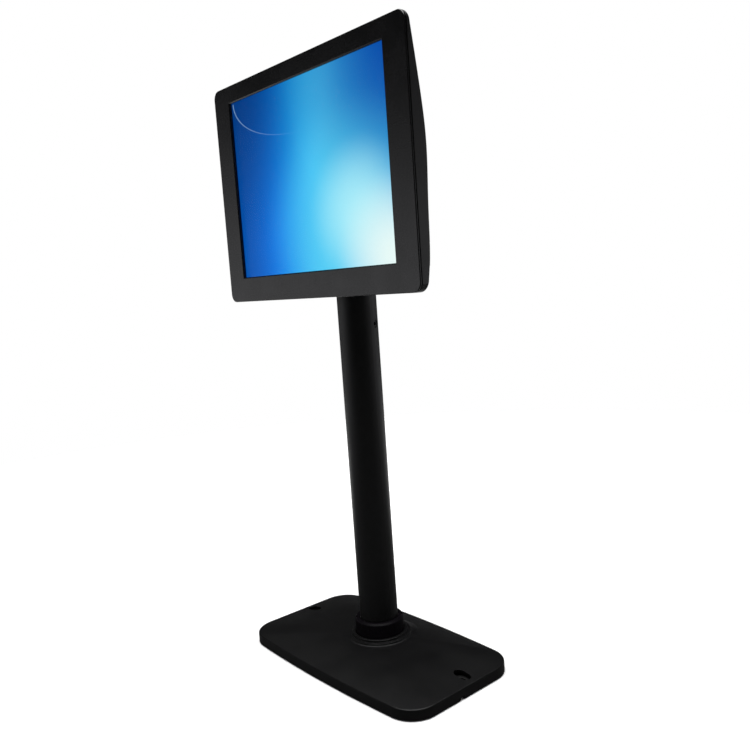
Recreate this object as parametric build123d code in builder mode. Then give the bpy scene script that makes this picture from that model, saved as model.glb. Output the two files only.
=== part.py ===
from build123d import *
from math import asin, atan2, cos, degrees, radians, sin, sqrt
import os

os.makedirs("parts", exist_ok=True)

# A countertop touch terminal: a 12.1 inch screen head on a round pole with a weighted foot.
# Millimetres. X runs along the foot and across the screen, the screen faces -Y, Z is up.
# The origin is under the middle of the foot, on the counter.

# ---------------------------------------------------------------- driving dimensions
# Foot
foot_length = 271.0
foot_width = 153.0
foot_corner_radius = 29.0
foot_side_swell = 3.5
foot_rim_height = 11.5
foot_crown_height = 21.0
foot_wall = 2.6
foot_rim_rounding = 1.2
foot_skirt_bottom = 1.0
plate_bottom = 1.6
plate_thickness = 6.5
pad_radius = 8.0
pad_thickness = 2.2
pad_inset_x = 24.0
pad_inset_y = 22.0
cover_boss_radius = 5.0
cover_boss_inset_x = 43.5
cover_boss_inset_y = 30.5
access_inset = 15.5
access_width = 11.0
access_length = 19.0
plate_slot_width = 5.6
plate_slot_length = 12.0
notch_width = 5.0
notch_height = 2.6
notch_shift = 7.0
foot_screw_bite = 4.0
socket_screw_bite = 3.2
pad_edge = 0.4

# Pole and its foot coupling
pole_setback = 10.0
pole_radius = 20.5
pole_wall = 2.0
pole_top = 452.0
socket_flange_thickness = 4.0
socket_flange_margin = 8.0
socket_sleeve_wall = 2.5
collar_wall = 3.0
collar_height = 20.5
collar_sink = 5.0
collar_notch_width = 5.0
collar_notch_reach = 2.4
collar_notch_depth = 2.2
collar_notch_angle = 50.0
collar_edge = 1.6
collar_cap = 6.5
collar_play = 0.15
ring_rise = 4.0
ring_wall = 3.4
ring_flare = 0.6
ring_step_height = 2.6
ring_step_width = 3.4
ring_step_fall = 1.6
ring_root_width = 10.0
ring_root_edge = 1.4
ring_edge_rounding = 0.6
ferrule_height = 4.0
ferrule_tip_wall = 1.0
ferrule_slit = 1.2
set_screw_drop = 96.5
set_screw_radius = 4.0
set_screw_angle = 20.0
set_screw_sink = 0.9
set_screw_edge = 0.5
set_key_radius = 2.3
set_key_depth = 2.4
swivel_reach = 90.0

# Neck
stem_reach = 117.0
stem_wall = 4.0
groove_depth = 2.0
groove_play = 0.5
bush_wall = 2.0
bush_length = 18.0
bush_flange = 1.5
shoulder_thickness = 5.0
shoulder_edge = 1.0
lug_half_width = 15.0
lug_radius = 14.0
tilt_axis_rise = 49.0
bolt_radius = 4.0
friction_washer = 1.5
washer_radius = 10.0
spring_washer_radius = 9.0
spring_washer_thickness = 1.2
bolt_head_across = 13.0
bolt_head_height = 4.0
nut_height = 6.5
bolt_tail = 1.5
ear_thickness = 3.0
ear_radius = 13.0
ear_root_half = 26.0
ear_root_thickness = 0.5

# Head
screen_width = 246.0
screen_height = 184.5
screen_rise = 4.2
frame_side = 30.0
frame_end = 22.75
face_setback = 56.0
bezel_corner = 9.0
bezel_plate = 2.4
bezel_lip = 1.4
bezel_skirt_depth = 4.0
skirt_wall = 1.6
screw_skin = 1.3
bezel_edge_rounding = 0.8
seam_gap = 1.2
shell_wall = 2.0
window_gap = 0.5
window_bevel = 1.0
gasket_thickness = 0.4
gasket_width = 5.0
glass_thickness = 1.8
glass_border = 8.0
glass_corner = 2.0
gasket_reveal = 3.0
panel_thickness = 6.0
panel_border = 8.0
panel_ledge_x = 30.0
panel_ledge_y = 40.0
panel_pocket = 0.6
bay_margin_x = 12.0
bay_margin_y = 8.0
bay_depth = 14.5
bay_draft = 5.0
hump_depth = 28.0
hump_width = 176.0
hump_height = 130.0
hump_draft = 10.0
hump_edge_rounding = 3.0
block_corner = 10.0
vesa_pitch = 75.0
vesa_hole = 2.2
vesa_plate_size = 84.0
vesa_plate_thickness = 2.5
vesa_plate_corner = 5.0

# Screws
m3_radius = 1.5
m3_head = 2.8
m4_radius = 2.0
m4_head = 3.8
m4_key_radius = 1.25
m4_key_depth = 1.4
pan_height = 2.0
cross_length = 3.4
cross_width = 0.7
cross_depth = 1.0

# Clearances
slip = 0.1
running_fit = 0.05
fit_gap = 0.4
shaft_play = 0.2
head_play = 0.3
past = 5.0
near = 0.01

# ---------------------------------------------------------------- worked-out places
plate_top = plate_bottom + plate_thickness
slot_spacing = foot_length - 2 * access_inset
cover_boss_x = foot_length / 2 - cover_boss_inset_x
cover_boss_y = foot_width / 2 - cover_boss_inset_y
pole_bottom = plate_top + socket_flange_thickness
pole_bore = pole_radius - pole_wall
pole_axis = Axis((0, pole_setback, 0), (0, 0, 1))
socket_sleeve_radius = pole_radius + socket_sleeve_wall
socket_flange_radius = socket_sleeve_radius + socket_flange_margin
socket_bolt_circle = (socket_sleeve_radius + socket_flange_radius) / 2
collar_radius = socket_sleeve_radius + collar_wall
ring_top = foot_crown_height + ring_rise
collar_seat = ring_top - collar_sink
collar_top = collar_seat + collar_height
socket_sleeve_top = collar_top - collar_cap
set_screw_height = pole_top - set_screw_drop
stem_radius = pole_bore - bush_wall
stem_bottom = pole_top - stem_reach
tilt_axis_height = pole_top + tilt_axis_rise
head_height = tilt_axis_height
face_y = pole_setback - face_setback
bezel_width = screen_width + 2 * frame_side
bezel_height = screen_height + 2 * frame_end
bay_width = bezel_width - 2 * bay_margin_x
bay_height = bezel_height - 2 * bay_margin_y
rear_edge = bezel_lip + seam_gap
post_top = bezel_skirt_depth + 2.0
cover_post_top = bezel_skirt_depth + 0.6
glass_front = bezel_plate + gasket_thickness
panel_front = glass_front + glass_thickness + fit_gap
panel_back = panel_front + panel_thickness
bracket_front = hump_depth
bracket_back = hump_depth + vesa_plate_thickness
ear_inner = lug_half_width + slip + friction_washer + slip
ear_outer = ear_inner + ear_thickness
hump_inside = hump_depth - shell_wall
vesa_places = [(sx * vesa_pitch / 2, sy * vesa_pitch / 2) for sx in (-1, 1) for sy in (-1, 1)]


# ---------------------------------------------------------------- shared shapes
def behind_face(depth):
    """The plane that lies depth behind the bezel's face, seen from behind."""
    return Plane(origin=(0, face_y + depth, head_height), x_dir=(-1, 0, 0), z_dir=(0, 1, 0))


def pole_plane(height):
    """A level plane centred on the pole."""
    return Plane(origin=(0, pole_setback, height), x_dir=(1, 0, 0), z_dir=(0, 0, 1))


def pole_profile_plane():
    """The upright plane through the pole's axis: x is the radius, y the height."""
    return Plane(origin=(0, pole_setback, 0), x_dir=(1, 0, 0), z_dir=(0, -1, 0))


def side_plane(offset):
    """An upright plane across X: its x runs to the rear from the face, its y up from the head's middle."""
    return Plane(origin=(offset, face_y, head_height), x_dir=(0, 1, 0), z_dir=(1, 0, 0))


def swelled_outline(length, width, radius, swell):
    """A rounded rectangle whose two long sides bow outward in one tangent arc each."""
    reach = length / 2 - radius
    side_radius = (reach**2 + swell**2) / (2 * swell)
    side_centre = width / 2 - side_radius
    corner_y = side_centre + sqrt((side_radius - radius) ** 2 - reach**2)
    lean = atan2(corner_y - side_centre, reach)
    end_x = length / 2
    mid_x = reach + radius * cos(lean / 2)
    mid_y = corner_y + radius * sin(lean / 2)
    side_x = reach + radius * cos(lean)
    side_y = corner_y + radius * sin(lean)
    with BuildSketch() as outline:
        with BuildLine():
            Line((end_x, -corner_y), (end_x, corner_y))
            ThreePointArc((end_x, corner_y), (mid_x, mid_y), (side_x, side_y))
            ThreePointArc((side_x, side_y), (0, width / 2), (-side_x, side_y))
            ThreePointArc((-side_x, side_y), (-mid_x, mid_y), (-end_x, corner_y))
            Line((-end_x, corner_y), (-end_x, -corner_y))
            ThreePointArc((-end_x, -corner_y), (-mid_x, -mid_y), (-side_x, -side_y))
            ThreePointArc((-side_x, -side_y), (0, -width / 2), (side_x, -side_y))
            ThreePointArc((side_x, -side_y), (mid_x, -mid_y), (end_x, -corner_y))
        make_face()
    return outline.sketch


crown_power = 2.2
crown_steps = (1.0, 0.93, 0.84, 0.72, 0.58, 0.44, 0.3)


def crown_height(step, rim, crown):
    """Height of the crowned top where the outline has shrunk to the given share."""
    return rim + (crown - rim) * (1 - step**crown_power)


def crowned_block(inset, floor):
    """The foot's outer shape, or its hollow when inset by the wall: upright sides and a crowned top."""
    length = foot_length - 2 * inset
    width = foot_width - 2 * inset
    radius = foot_corner_radius - inset
    rim = foot_rim_height - inset
    crown = foot_crown_height - inset
    with BuildPart() as block:
        with BuildSketch(Plane.XY.offset(floor)):
            add(swelled_outline(length, width, radius, foot_side_swell))
        extrude(amount=rim - floor)
        for step in crown_steps:
            with BuildSketch(Plane.XY.offset(crown_height(step, rim, crown))):
                add(swelled_outline(length * step, width * step, radius * step, foot_side_swell * step))
        loft()
    return block.part


# ---------------------------------------------------------------- foot
ring_outer = collar_radius + fit_gap + ring_wall
ring_root_radius = ring_outer + ring_step_width + ring_root_width
step_top = ring_top - ring_step_height
boss_floor = foot_crown_height - foot_wall - ring_step_height
cover_boss_places = [(sx * cover_boss_x, sy * cover_boss_y) for sx in (-1, 1) for sy in (-1, 1)]

pilot_share = 0.7
pilot_depth = crown_height(pilot_share, foot_rim_height, foot_crown_height) - foot_wall

foot_block = crowned_block(0.0, foot_skirt_bottom)
foot_cavity = crowned_block(foot_wall, 0.0)

with BuildPart() as foot_hollow:
    add(foot_cavity)
    with BuildSketch(Plane.XY.offset(plate_top)):
        with Locations(*cover_boss_places):
            Circle(cover_boss_radius)
    extrude(amount=foot_crown_height, mode=Mode.SUBTRACT)

with BuildPart() as foot_cover:
    add(foot_block)
    rim_edges = foot_cover.edges().filter_by_position(Axis.Z, foot_rim_height - near, foot_rim_height + near)
    fillet(rim_edges, foot_rim_rounding)
    add(foot_hollow.part, mode=Mode.SUBTRACT)
    with BuildSketch(pole_profile_plane()) as ring_profile:
        with BuildLine():
            Polyline(
                (0, boss_floor),
                (0, ring_top),
                (ring_outer, ring_top),
                (ring_outer + ring_flare, step_top),
                (ring_outer + ring_step_width, step_top),
                (ring_outer + ring_step_width + ring_flare, step_top - ring_step_fall),
                (ring_root_radius, boss_floor + ring_root_edge),
                (ring_root_radius, boss_floor),
                close=True,
            )
        make_face()
    revolve(axis=pole_axis)
    with BuildSketch(pole_plane(collar_seat)):
        Circle(collar_radius + fit_gap)
    extrude(amount=foot_crown_height, mode=Mode.SUBTRACT)
    with BuildSketch(pole_plane(boss_floor - past)):
        Circle(socket_sleeve_radius + fit_gap)
    extrude(amount=foot_crown_height, mode=Mode.SUBTRACT)
    ring_edges = foot_cover.edges().filter_by(GeomType.CIRCLE)
    ring_edges = ring_edges.filter_by_position(Axis.Z, ring_top - near, ring_top + near)
    fillet(ring_edges, ring_edge_rounding)
    with BuildSketch(pole_plane(0)):
        with Locations((-slot_spacing / 2, 0), (slot_spacing / 2, 0)):
            SlotOverall(access_length, access_width)
    extrude(amount=foot_crown_height + past, mode=Mode.SUBTRACT)
    with BuildSketch(Plane.YZ) as pry_notch:
        with Locations((-notch_shift, 0)):
            Rectangle(notch_width, 2 * (foot_skirt_bottom + notch_height))
    extrude(amount=foot_length, both=True, mode=Mode.SUBTRACT)
    with BuildSketch(Plane.XY.offset(0)):
        with Locations(*cover_boss_places):
            Circle(m4_radius)
    extrude(amount=pilot_depth, mode=Mode.SUBTRACT)

plate_inset = foot_wall + fit_gap
pad_x = foot_length / 2 - pad_inset_x
pad_y = foot_width / 2 - pad_inset_y
pad_places = [(sx * pad_x, sy * pad_y) for sx in (-1, 1) for sy in (-1, 1)]
socket_bolt_places = [
    (0, socket_bolt_circle),
    (0, -socket_bolt_circle),
    (socket_bolt_circle, 0),
    (-socket_bolt_circle, 0),
]

plate_outline = swelled_outline(
    foot_length - 2 * plate_inset,
    foot_width - 2 * plate_inset,
    foot_corner_radius - plate_inset,
    foot_side_swell,
)

with BuildPart() as foot_plate:
    with BuildSketch(Plane.XY.offset(plate_bottom)):
        add(plate_outline)
    extrude(amount=plate_thickness)
    with BuildSketch(Plane.XY.offset(plate_bottom)):
        with Locations(*pad_places):
            Circle(pad_radius + fit_gap)
    extrude(amount=pad_thickness - plate_bottom, mode=Mode.SUBTRACT)
    with BuildSketch(pole_plane(0)):
        with Locations((-slot_spacing / 2, 0), (slot_spacing / 2, 0)):
            SlotOverall(plate_slot_length, plate_slot_width)
    extrude(amount=plate_top + past, mode=Mode.SUBTRACT)
    with Locations(Plane(origin=(0, 0, plate_bottom), x_dir=(1, 0, 0), z_dir=(0, 0, -1))):
        with Locations(*cover_boss_places):
            CounterSinkHole(m4_radius + head_play, m4_head + head_play)
        with Locations(*[(x, -y - pole_setback) for x, y in socket_bolt_places]):
            CounterSinkHole(m4_radius + head_play, m4_head + head_play)


def countersunk_screw(head_plane, length):
    """A countersunk M4 screw whose head is flush with the given plane, pointing along its normal."""
    with BuildPart() as screw:
        with BuildSketch(head_plane):
            Circle(m4_head)
        with BuildSketch(head_plane.offset(m4_head - m4_radius)):
            Circle(m4_radius - running_fit)
        loft()
        with BuildSketch(head_plane):
            Circle(m4_radius - running_fit)
        extrude(amount=length)
        with BuildSketch(head_plane):
            RegularPolygon(m4_key_radius, 6)
        extrude(amount=m4_key_depth, mode=Mode.SUBTRACT)
    return screw.part


foot_screw_row = [
    countersunk_screw(Plane(origin=(x, y, plate_bottom)), plate_thickness + foot_screw_bite)
    for x, y in cover_boss_places
]
socket_screw_row = [
    countersunk_screw(Plane(origin=(x, y + pole_setback, plate_bottom)), plate_thickness + socket_screw_bite)
    for x, y in socket_bolt_places
]

with BuildPart() as foot_screws:
    add(foot_screw_row)

with BuildPart() as socket_screws:
    add(socket_screw_row)

with BuildPart() as foot_pads:
    with BuildSketch(Plane.XY):
        with Locations(*pad_places):
            Circle(pad_radius)
    extrude(amount=pad_thickness)
    chamfer(foot_pads.edges().group_by(Axis.Z)[0], pad_edge)

# ---------------------------------------------------------------- pole and its coupling
with BuildPart() as pole_socket:
    with BuildSketch(pole_plane(plate_top)):
        Circle(socket_flange_radius)
    extrude(amount=socket_flange_thickness)
    with BuildSketch(pole_plane(pole_bottom)):
        Circle(socket_sleeve_radius)
        Circle(pole_radius + slip, mode=Mode.SUBTRACT)
    extrude(amount=socket_sleeve_top - pole_bottom)
    with BuildSketch(pole_plane(plate_top)):
        with Locations(*socket_bolt_places):
            Circle(m4_radius)
    extrude(amount=socket_screw_bite + fit_gap, mode=Mode.SUBTRACT)

ferrule_inner = pole_radius + running_fit
ferrule_base = socket_sleeve_radius - slip
ferrule_tip = ferrule_inner + ferrule_tip_wall

with BuildPart() as pole_ferrule:
    with BuildSketch(pole_profile_plane()):
        with BuildLine():
            Polyline(
                (ferrule_inner, socket_sleeve_top),
                (ferrule_base, socket_sleeve_top),
                (ferrule_tip, socket_sleeve_top + ferrule_height),
                (ferrule_inner, socket_sleeve_top + ferrule_height),
                close=True,
            )
        make_face()
    revolve(axis=pole_axis)
    with BuildSketch(pole_plane(socket_sleeve_top)):
        with Locations((-ferrule_base, 0)):
            Rectangle(2 * (ferrule_base - ferrule_inner) + ferrule_slit, ferrule_slit)
    extrude(amount=ferrule_height, mode=Mode.SUBTRACT)

collar_bore = socket_sleeve_radius + collar_play
collar_cone_top = socket_sleeve_top + ferrule_height + slip

with BuildPart() as locking_collar:
    with BuildSketch(pole_profile_plane()):
        with BuildLine():
            Polyline(
                (collar_bore, collar_seat),
                (collar_radius, collar_seat),
                (collar_radius, collar_top - collar_edge),
                (collar_radius - collar_edge, collar_top),
                (pole_radius + fit_gap, collar_top),
                (pole_radius + fit_gap, collar_cone_top),
                (ferrule_tip + collar_play, collar_cone_top),
                (collar_bore, socket_sleeve_top),
                close=True,
            )
        make_face()
    revolve(axis=pole_axis)
    with BuildSketch(pole_plane(collar_top - collar_notch_depth)):
        with PolarLocations(collar_radius, 2, start_angle=collar_notch_angle):
            Rectangle(2 * collar_notch_reach, collar_notch_width)
    extrude(amount=collar_notch_depth, mode=Mode.SUBTRACT)

set_screw_plane = Plane(
    origin=(0, pole_setback, set_screw_height),
    x_dir=(-sin(radians(set_screw_angle)), cos(radians(set_screw_angle)), 0),
    z_dir=(cos(radians(set_screw_angle)), sin(radians(set_screw_angle)), 0),
)

with BuildPart() as pole_tube:
    with BuildSketch(pole_plane(pole_bottom)):
        Circle(pole_radius)
        Circle(pole_bore, mode=Mode.SUBTRACT)
    extrude(amount=pole_top - pole_bottom)
    with BuildSketch(set_screw_plane):
        Circle(set_screw_radius + slip)
    extrude(amount=pole_radius + past, mode=Mode.SUBTRACT)

groove_floor = stem_radius - groove_depth
set_screw_tip = groove_floor + groove_play
set_screw_face = pole_radius - set_screw_sink

with BuildPart() as stem_set_screw:
    with BuildSketch(set_screw_plane.offset(set_screw_tip)):
        Circle(set_screw_radius)
    extrude(amount=set_screw_face - set_screw_tip)
    chamfer(stem_set_screw.edges().filter_by(GeomType.CIRCLE), set_screw_edge)
    with BuildSketch(set_screw_plane.offset(set_screw_face)):
        RegularPolygon(set_key_radius, 6)
    extrude(amount=-set_key_depth, mode=Mode.SUBTRACT)

bush_inner = stem_radius + running_fit
bush_outer = pole_bore - running_fit

with BuildPart() as lower_bush:
    with BuildSketch(pole_plane(stem_bottom)):
        Circle(bush_outer)
        Circle(bush_inner, mode=Mode.SUBTRACT)
    extrude(amount=bush_length / 2)

with BuildPart() as upper_bush:
    with BuildSketch(pole_plane(pole_top - bush_length)):
        Circle(bush_outer)
    extrude(amount=bush_length)
    with BuildSketch(pole_plane(pole_top)):
        Circle(pole_radius)
    extrude(amount=bush_flange)
    with BuildSketch(pole_plane(pole_top - bush_length)):
        Circle(bush_inner)
    extrude(amount=bush_length + bush_flange, mode=Mode.SUBTRACT)

# ---------------------------------------------------------------- neck
shoulder_bottom = pole_top + bush_flange + slip
groove_half_height = set_screw_radius + groove_play
tip_half_angle = degrees(asin((set_screw_radius + shaft_play) / set_screw_tip))
groove_arc = 2 * (swivel_reach + tip_half_angle)

with BuildPart() as neck_stem:
    with BuildSketch(pole_plane(stem_bottom)):
        Circle(stem_radius)
        Circle(stem_radius - stem_wall, mode=Mode.SUBTRACT)
    extrude(amount=shoulder_bottom - stem_bottom)
    with BuildSketch(pole_plane(shoulder_bottom)):
        Circle(pole_radius)
    extrude(amount=shoulder_thickness)
    chamfer(neck_stem.edges().group_by(Axis.Z)[-1], shoulder_edge)
    with BuildSketch(Plane(origin=(0, pole_setback, tilt_axis_height), x_dir=(0, 1, 0), z_dir=(1, 0, 0))):
        Circle(lug_radius)
        with Locations((0, (shoulder_bottom - tilt_axis_height) / 2)):
            Rectangle(2 * lug_radius, tilt_axis_height - shoulder_bottom)
    extrude(amount=lug_half_width, both=True)
    with BuildSketch(Plane(origin=(0, pole_setback, tilt_axis_height), x_dir=(0, 1, 0), z_dir=(1, 0, 0))):
        Circle(bolt_radius + running_fit)
    extrude(amount=lug_half_width + past, both=True, mode=Mode.SUBTRACT)
    groove_start = set_screw_angle - groove_arc / 2
    groove_plane = Plane(
        origin=(0, pole_setback, set_screw_height),
        x_dir=(cos(radians(groove_start)), sin(radians(groove_start)), 0),
        z_dir=(sin(radians(groove_start)), -cos(radians(groove_start)), 0),
    )
    with BuildSketch(groove_plane):
        with Locations((stem_radius, 0)):
            Rectangle(2 * (stem_radius - groove_floor), 2 * groove_half_height)
    revolve(axis=pole_axis, revolution_arc=groove_arc, mode=Mode.SUBTRACT)

# ---------------------------------------------------------------- tilt hinge
hinge_plane = Plane(origin=(0, pole_setback, tilt_axis_height), x_dir=(0, 1, 0), z_dir=(1, 0, 0))
with BuildPart() as tilt_bolt:
    with BuildSketch(hinge_plane.offset(-ear_outer)):
        Circle(bolt_radius)
    extrude(amount=2 * ear_outer + spring_washer_thickness + nut_height + bolt_tail)
    with BuildSketch(hinge_plane.offset(-ear_outer)):
        RegularPolygon(bolt_head_across / 2, 6, major_radius=False)
    extrude(amount=-bolt_head_height)

with BuildPart() as tilt_nut:
    with BuildSketch(hinge_plane.offset(ear_outer + spring_washer_thickness)):
        RegularPolygon(bolt_head_across / 2, 6, major_radius=False)
        Circle(bolt_radius + running_fit, mode=Mode.SUBTRACT)
    extrude(amount=nut_height)

with BuildPart() as friction_washers:
    for side in (-1, 1):
        with BuildSketch(hinge_plane.offset(side * (lug_half_width + slip))):
            Circle(washer_radius)
            Circle(bolt_radius + running_fit, mode=Mode.SUBTRACT)
        extrude(amount=side * friction_washer)

with BuildPart() as spring_washer:
    with BuildSketch(hinge_plane.offset(ear_outer)):
        Circle(spring_washer_radius)
        Circle(bolt_radius + running_fit, mode=Mode.SUBTRACT)
    extrude(amount=spring_washer_thickness)

ear_root = bracket_back - face_setback

with BuildPart() as tilt_bracket:
    with BuildSketch(behind_face(bracket_front)):
        RectangleRounded(vesa_plate_size, vesa_plate_size, vesa_plate_corner)
        with Locations(*vesa_places):
            Circle(vesa_hole, mode=Mode.SUBTRACT)
    extrude(amount=vesa_plate_thickness)
    for side in (-1, 1):
        with BuildSketch(hinge_plane.offset(side * ear_inner)) as ear:
            Circle(ear_radius)
            with BuildLine():
                Polyline(
                    (0, ear_radius),
                    (ear_root, ear_root_half),
                    (ear_root - ear_root_thickness, ear_root_half),
                    (ear_root - ear_root_thickness, -ear_root_half),
                    (ear_root, -ear_root_half),
                    (0, -ear_radius),
                    close=True,
                )
            make_face()
            Circle(bolt_radius + running_fit, mode=Mode.SUBTRACT)
        extrude(amount=side * ear_thickness)

# ---------------------------------------------------------------- front frame and glass
inner_width = bezel_width - 2 * shell_wall
inner_height = bezel_height - 2 * shell_wall
post_radius = 3.6
column_radius = 4.8
cover_post_inset_x = 7.5
cover_post_inset_y = 16.0
cover_post_x = inner_width / 2 - cover_post_inset_x
cover_post_y = inner_height / 2 - cover_post_inset_y
cover_post_places = [(sx * cover_post_x, sy * cover_post_y) for sx in (-1, 1) for sy in (-1, 1)]
chassis_post_x = screen_width / 2 + panel_border + 7.0
chassis_post_y = 58.0
chassis_post_places = [(sx * chassis_post_x, sy * chassis_post_y) for sx in (-1, 1) for sy in (-1, 1)]

with BuildPart() as front_bezel:
    with BuildSketch(behind_face(0)):
        RectangleRounded(bezel_width, bezel_height, bezel_corner)
    extrude(amount=bezel_lip)
    # the plate thickens inside the rear cover's edge, and a skirt centres it there
    skirt_inset = 2 * (shell_wall + fit_gap)
    with BuildSketch(behind_face(bezel_lip)):
        RectangleRounded(bezel_width - skirt_inset, bezel_height - skirt_inset, bezel_corner - shell_wall)
    extrude(amount=bezel_skirt_depth - bezel_lip)
    hollow_inset = skirt_inset + 2 * skirt_wall
    hollow_corner = bezel_corner - 2 * shell_wall
    with BuildSketch(behind_face(bezel_plate)):
        RectangleRounded(bezel_width - hollow_inset, bezel_height - hollow_inset, hollow_corner)
    extrude(amount=bezel_skirt_depth, mode=Mode.SUBTRACT)
    front_edges = front_bezel.faces().sort_by(Axis.Y)[0].outer_wire().edges()
    fillet(front_edges, bezel_edge_rounding)
    with BuildSketch(behind_face(0)):
        with Locations((0, screen_rise)):
            Rectangle(screen_width + 2 * window_gap, screen_height + 2 * window_gap)
    extrude(amount=bezel_plate, mode=Mode.SUBTRACT)
    window_edges = front_bezel.faces().sort_by(Axis.Y)[0].inner_wires()[0].edges()
    chamfer(window_edges, window_bevel)
    with BuildSketch(behind_face(bezel_plate)):
        with Locations(*cover_post_places):
            Circle(post_radius)
    extrude(amount=cover_post_top - bezel_plate)
    with BuildSketch(behind_face(bezel_plate)):
        with Locations(*chassis_post_places):
            Circle(post_radius)
    extrude(amount=post_top - bezel_plate)
    with BuildSketch(behind_face(screw_skin)):
        with Locations(*cover_post_places, *chassis_post_places):
            Circle(m3_radius + running_fit)
    extrude(amount=post_top, mode=Mode.SUBTRACT)

gasket_inner_width = screen_width + gasket_reveal
gasket_inner_height = screen_height + gasket_reveal

with BuildPart() as glass_gasket:
    with BuildSketch(behind_face(bezel_plate)):
        with Locations((0, screen_rise)):
            Rectangle(gasket_inner_width + 2 * gasket_width, gasket_inner_height + 2 * gasket_width)
            Rectangle(gasket_inner_width, gasket_inner_height, mode=Mode.SUBTRACT)
    extrude(amount=gasket_thickness)

with BuildPart() as touch_glass:
    with BuildSketch(behind_face(glass_front)):
        with Locations((0, screen_rise)):
            RectangleRounded(screen_width + 2 * glass_border, screen_height + 2 * glass_border, glass_corner)
    extrude(amount=glass_thickness)

with BuildPart() as lcd_panel:
    with BuildSketch(behind_face(panel_front)):
        with Locations((0, screen_rise)):
            Rectangle(screen_width + 2 * panel_border, screen_height + 2 * panel_border)
    extrude(amount=panel_thickness)
    with BuildSketch(behind_face(panel_back)):
        with Locations((0, screen_rise)):
            Rectangle(screen_width - panel_ledge_x, screen_height - panel_ledge_y)
    extrude(amount=-panel_pocket, mode=Mode.SUBTRACT)

# ---------------------------------------------------------------- rear cover
# Side view of the perimeter wall: thin at the top edge, deepest a third of the way down.
top_depth = 5.8
brow_depth = 15.3
brow_drop = 68.0
shoulder_depth = 18.2
shoulder_drop = 103.0
belly_depth = 16.4
waist_depth = 13.9
chin_rise = 22.0
chin_step = 1.5
bottom_depth = 9.9
back_edge_rounding = 2.5


def wedge_profile(thinner):
    """Side outline of the cover, from the face plane back to its curved rear surface."""
    top = bezel_height / 2
    chin = chin_rise - top
    with BuildSketch() as side_view:
        with BuildLine():
            rear = Spline(
                (top_depth - thinner, top + 1),
                (brow_depth - thinner, top - brow_drop),
                (shoulder_depth - thinner, top - shoulder_drop),
                (belly_depth - thinner, (top - shoulder_drop + chin) / 2),
                (waist_depth - thinner, chin),
                (bottom_depth - thinner, -top - 1),
            )
            Polyline(rear @ 1, (0, -top - 1), (0, top + 1), rear @ 0)
        make_face()
    return side_view.sketch


def chin_profile(thinner):
    """The strip cut off the rear surface below the chin line, where the cover steps thinner."""
    low = -bezel_height / 2 - 2
    chin = chin_rise - bezel_height / 2 + thinner
    front_top = waist_depth - chin_step - thinner
    front_low = bottom_depth - chin_step - thinner
    with BuildSketch() as strip:
        with BuildLine():
            Polyline((front_top, chin), (front_low, low), (hump_depth, low), (hump_depth, chin), close=True)
        make_face()
    return strip.sketch


def raised_block(width, height, draft, low, high, thinner):
    """A drafted block standing off the rear surface, wider at its root."""
    corner = block_corner - thinner
    top_width = width - 2 * thinner
    top_height = height - 2 * thinner
    with BuildPart() as block:
        with BuildSketch(behind_face(low)):
            RectangleRounded(top_width + 2 * draft, top_height + 2 * draft, corner + draft)
        with BuildSketch(behind_face(high - thinner)):
            RectangleRounded(top_width, top_height, corner)
        loft(ruled=True)
    return block.part


bay_root = rear_edge + 1.0
hump_root = 9.0

bay_block = raised_block(bay_width, bay_height, bay_draft, bay_root, bay_depth, 0)
bay_hollow = raised_block(bay_width, bay_height, bay_draft, bay_root, bay_depth, shell_wall)
hump_block = raised_block(hump_width, hump_height, hump_draft, hump_root, hump_depth, 0)
hump_hollow = raised_block(hump_width, hump_height, hump_draft, hump_root, hump_depth, shell_wall)
wedge_outer = wedge_profile(0)
wedge_inner = wedge_profile(shell_wall)
chin_outer = chin_profile(0)
chin_inner = chin_profile(shell_wall)

with BuildPart() as cover_hollow:
    with BuildSketch(behind_face(rear_edge - 1)):
        RectangleRounded(inner_width, inner_height, bezel_corner - shell_wall)
    extrude(amount=hump_depth)
    with BuildSketch(side_plane(-bezel_width)):
        add(wedge_inner)
    extrude(amount=2 * bezel_width, mode=Mode.INTERSECT)
    with BuildSketch(side_plane(-bezel_width)):
        add(chin_inner)
    extrude(amount=2 * bezel_width, mode=Mode.SUBTRACT)
    add(bay_hollow)
    add(hump_hollow)
    with BuildSketch(behind_face(cover_post_top + slip)):
        with Locations(*cover_post_places):
            Circle(column_radius)
    extrude(amount=hump_depth, mode=Mode.SUBTRACT)

# ---------------------------------------------------------------- inside the head
chassis_thickness = 0.8
chassis_tab_height = 12.0
chassis_width = screen_width + 2 * panel_border + 2 * fit_gap
chassis_height = hump_height + 38.0
chassis_front = panel_back + fit_gap
chassis_back = chassis_front + chassis_thickness
standoff_radius = 3.5
standoff_thread = 8.0
board_width = hump_width - 40.0
board_height = hump_height - 26.0
board_thickness = 1.6
board_lift = 5.0
spacer_radius = 3.0
board_screw_head = 1.8
board_screw_bite = 3.5
board_front = chassis_back + board_lift
board_back = board_front + board_thickness
board_hole_x = board_width / 2 - 6
board_hole_y = board_height / 2 - 7
board_hole_places = [(sx * board_hole_x, sy * board_hole_y) for sx in (-1, 1) for sy in (-1, 1)]
port_face = hump_height / 2 + 1.0
port_length = 22.0
usb_places = (-6.0, 12.0)
usb_width = 14.0
usb_height = 6.4
video_place = -28.0
video_width = 15.6
video_height = 5.8
dc_place = -50.0
dc_width = 9.6
dc_height = 6.6
button_place = 46.0
button_radius = 4.0
button_travel = 1.0
button_axis_depth = 22.0
speaker_place = hump_width / 2 - 10.0
vent_width = 2.4
vent_length = 12.0
top_vent_pitch = 7.0
top_vent_count = 13
side_vent_pitch = 5.0
side_vent_count = 9
speaker_vent_count = 7
ribbon_width = 24.0
ribbon_thickness = 0.4
ribbon_slot_play = 3.0
ribbon_slot_height = 4.0
ribbon_low_tail = 14.0
ribbon_high_tail = 9.0
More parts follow.
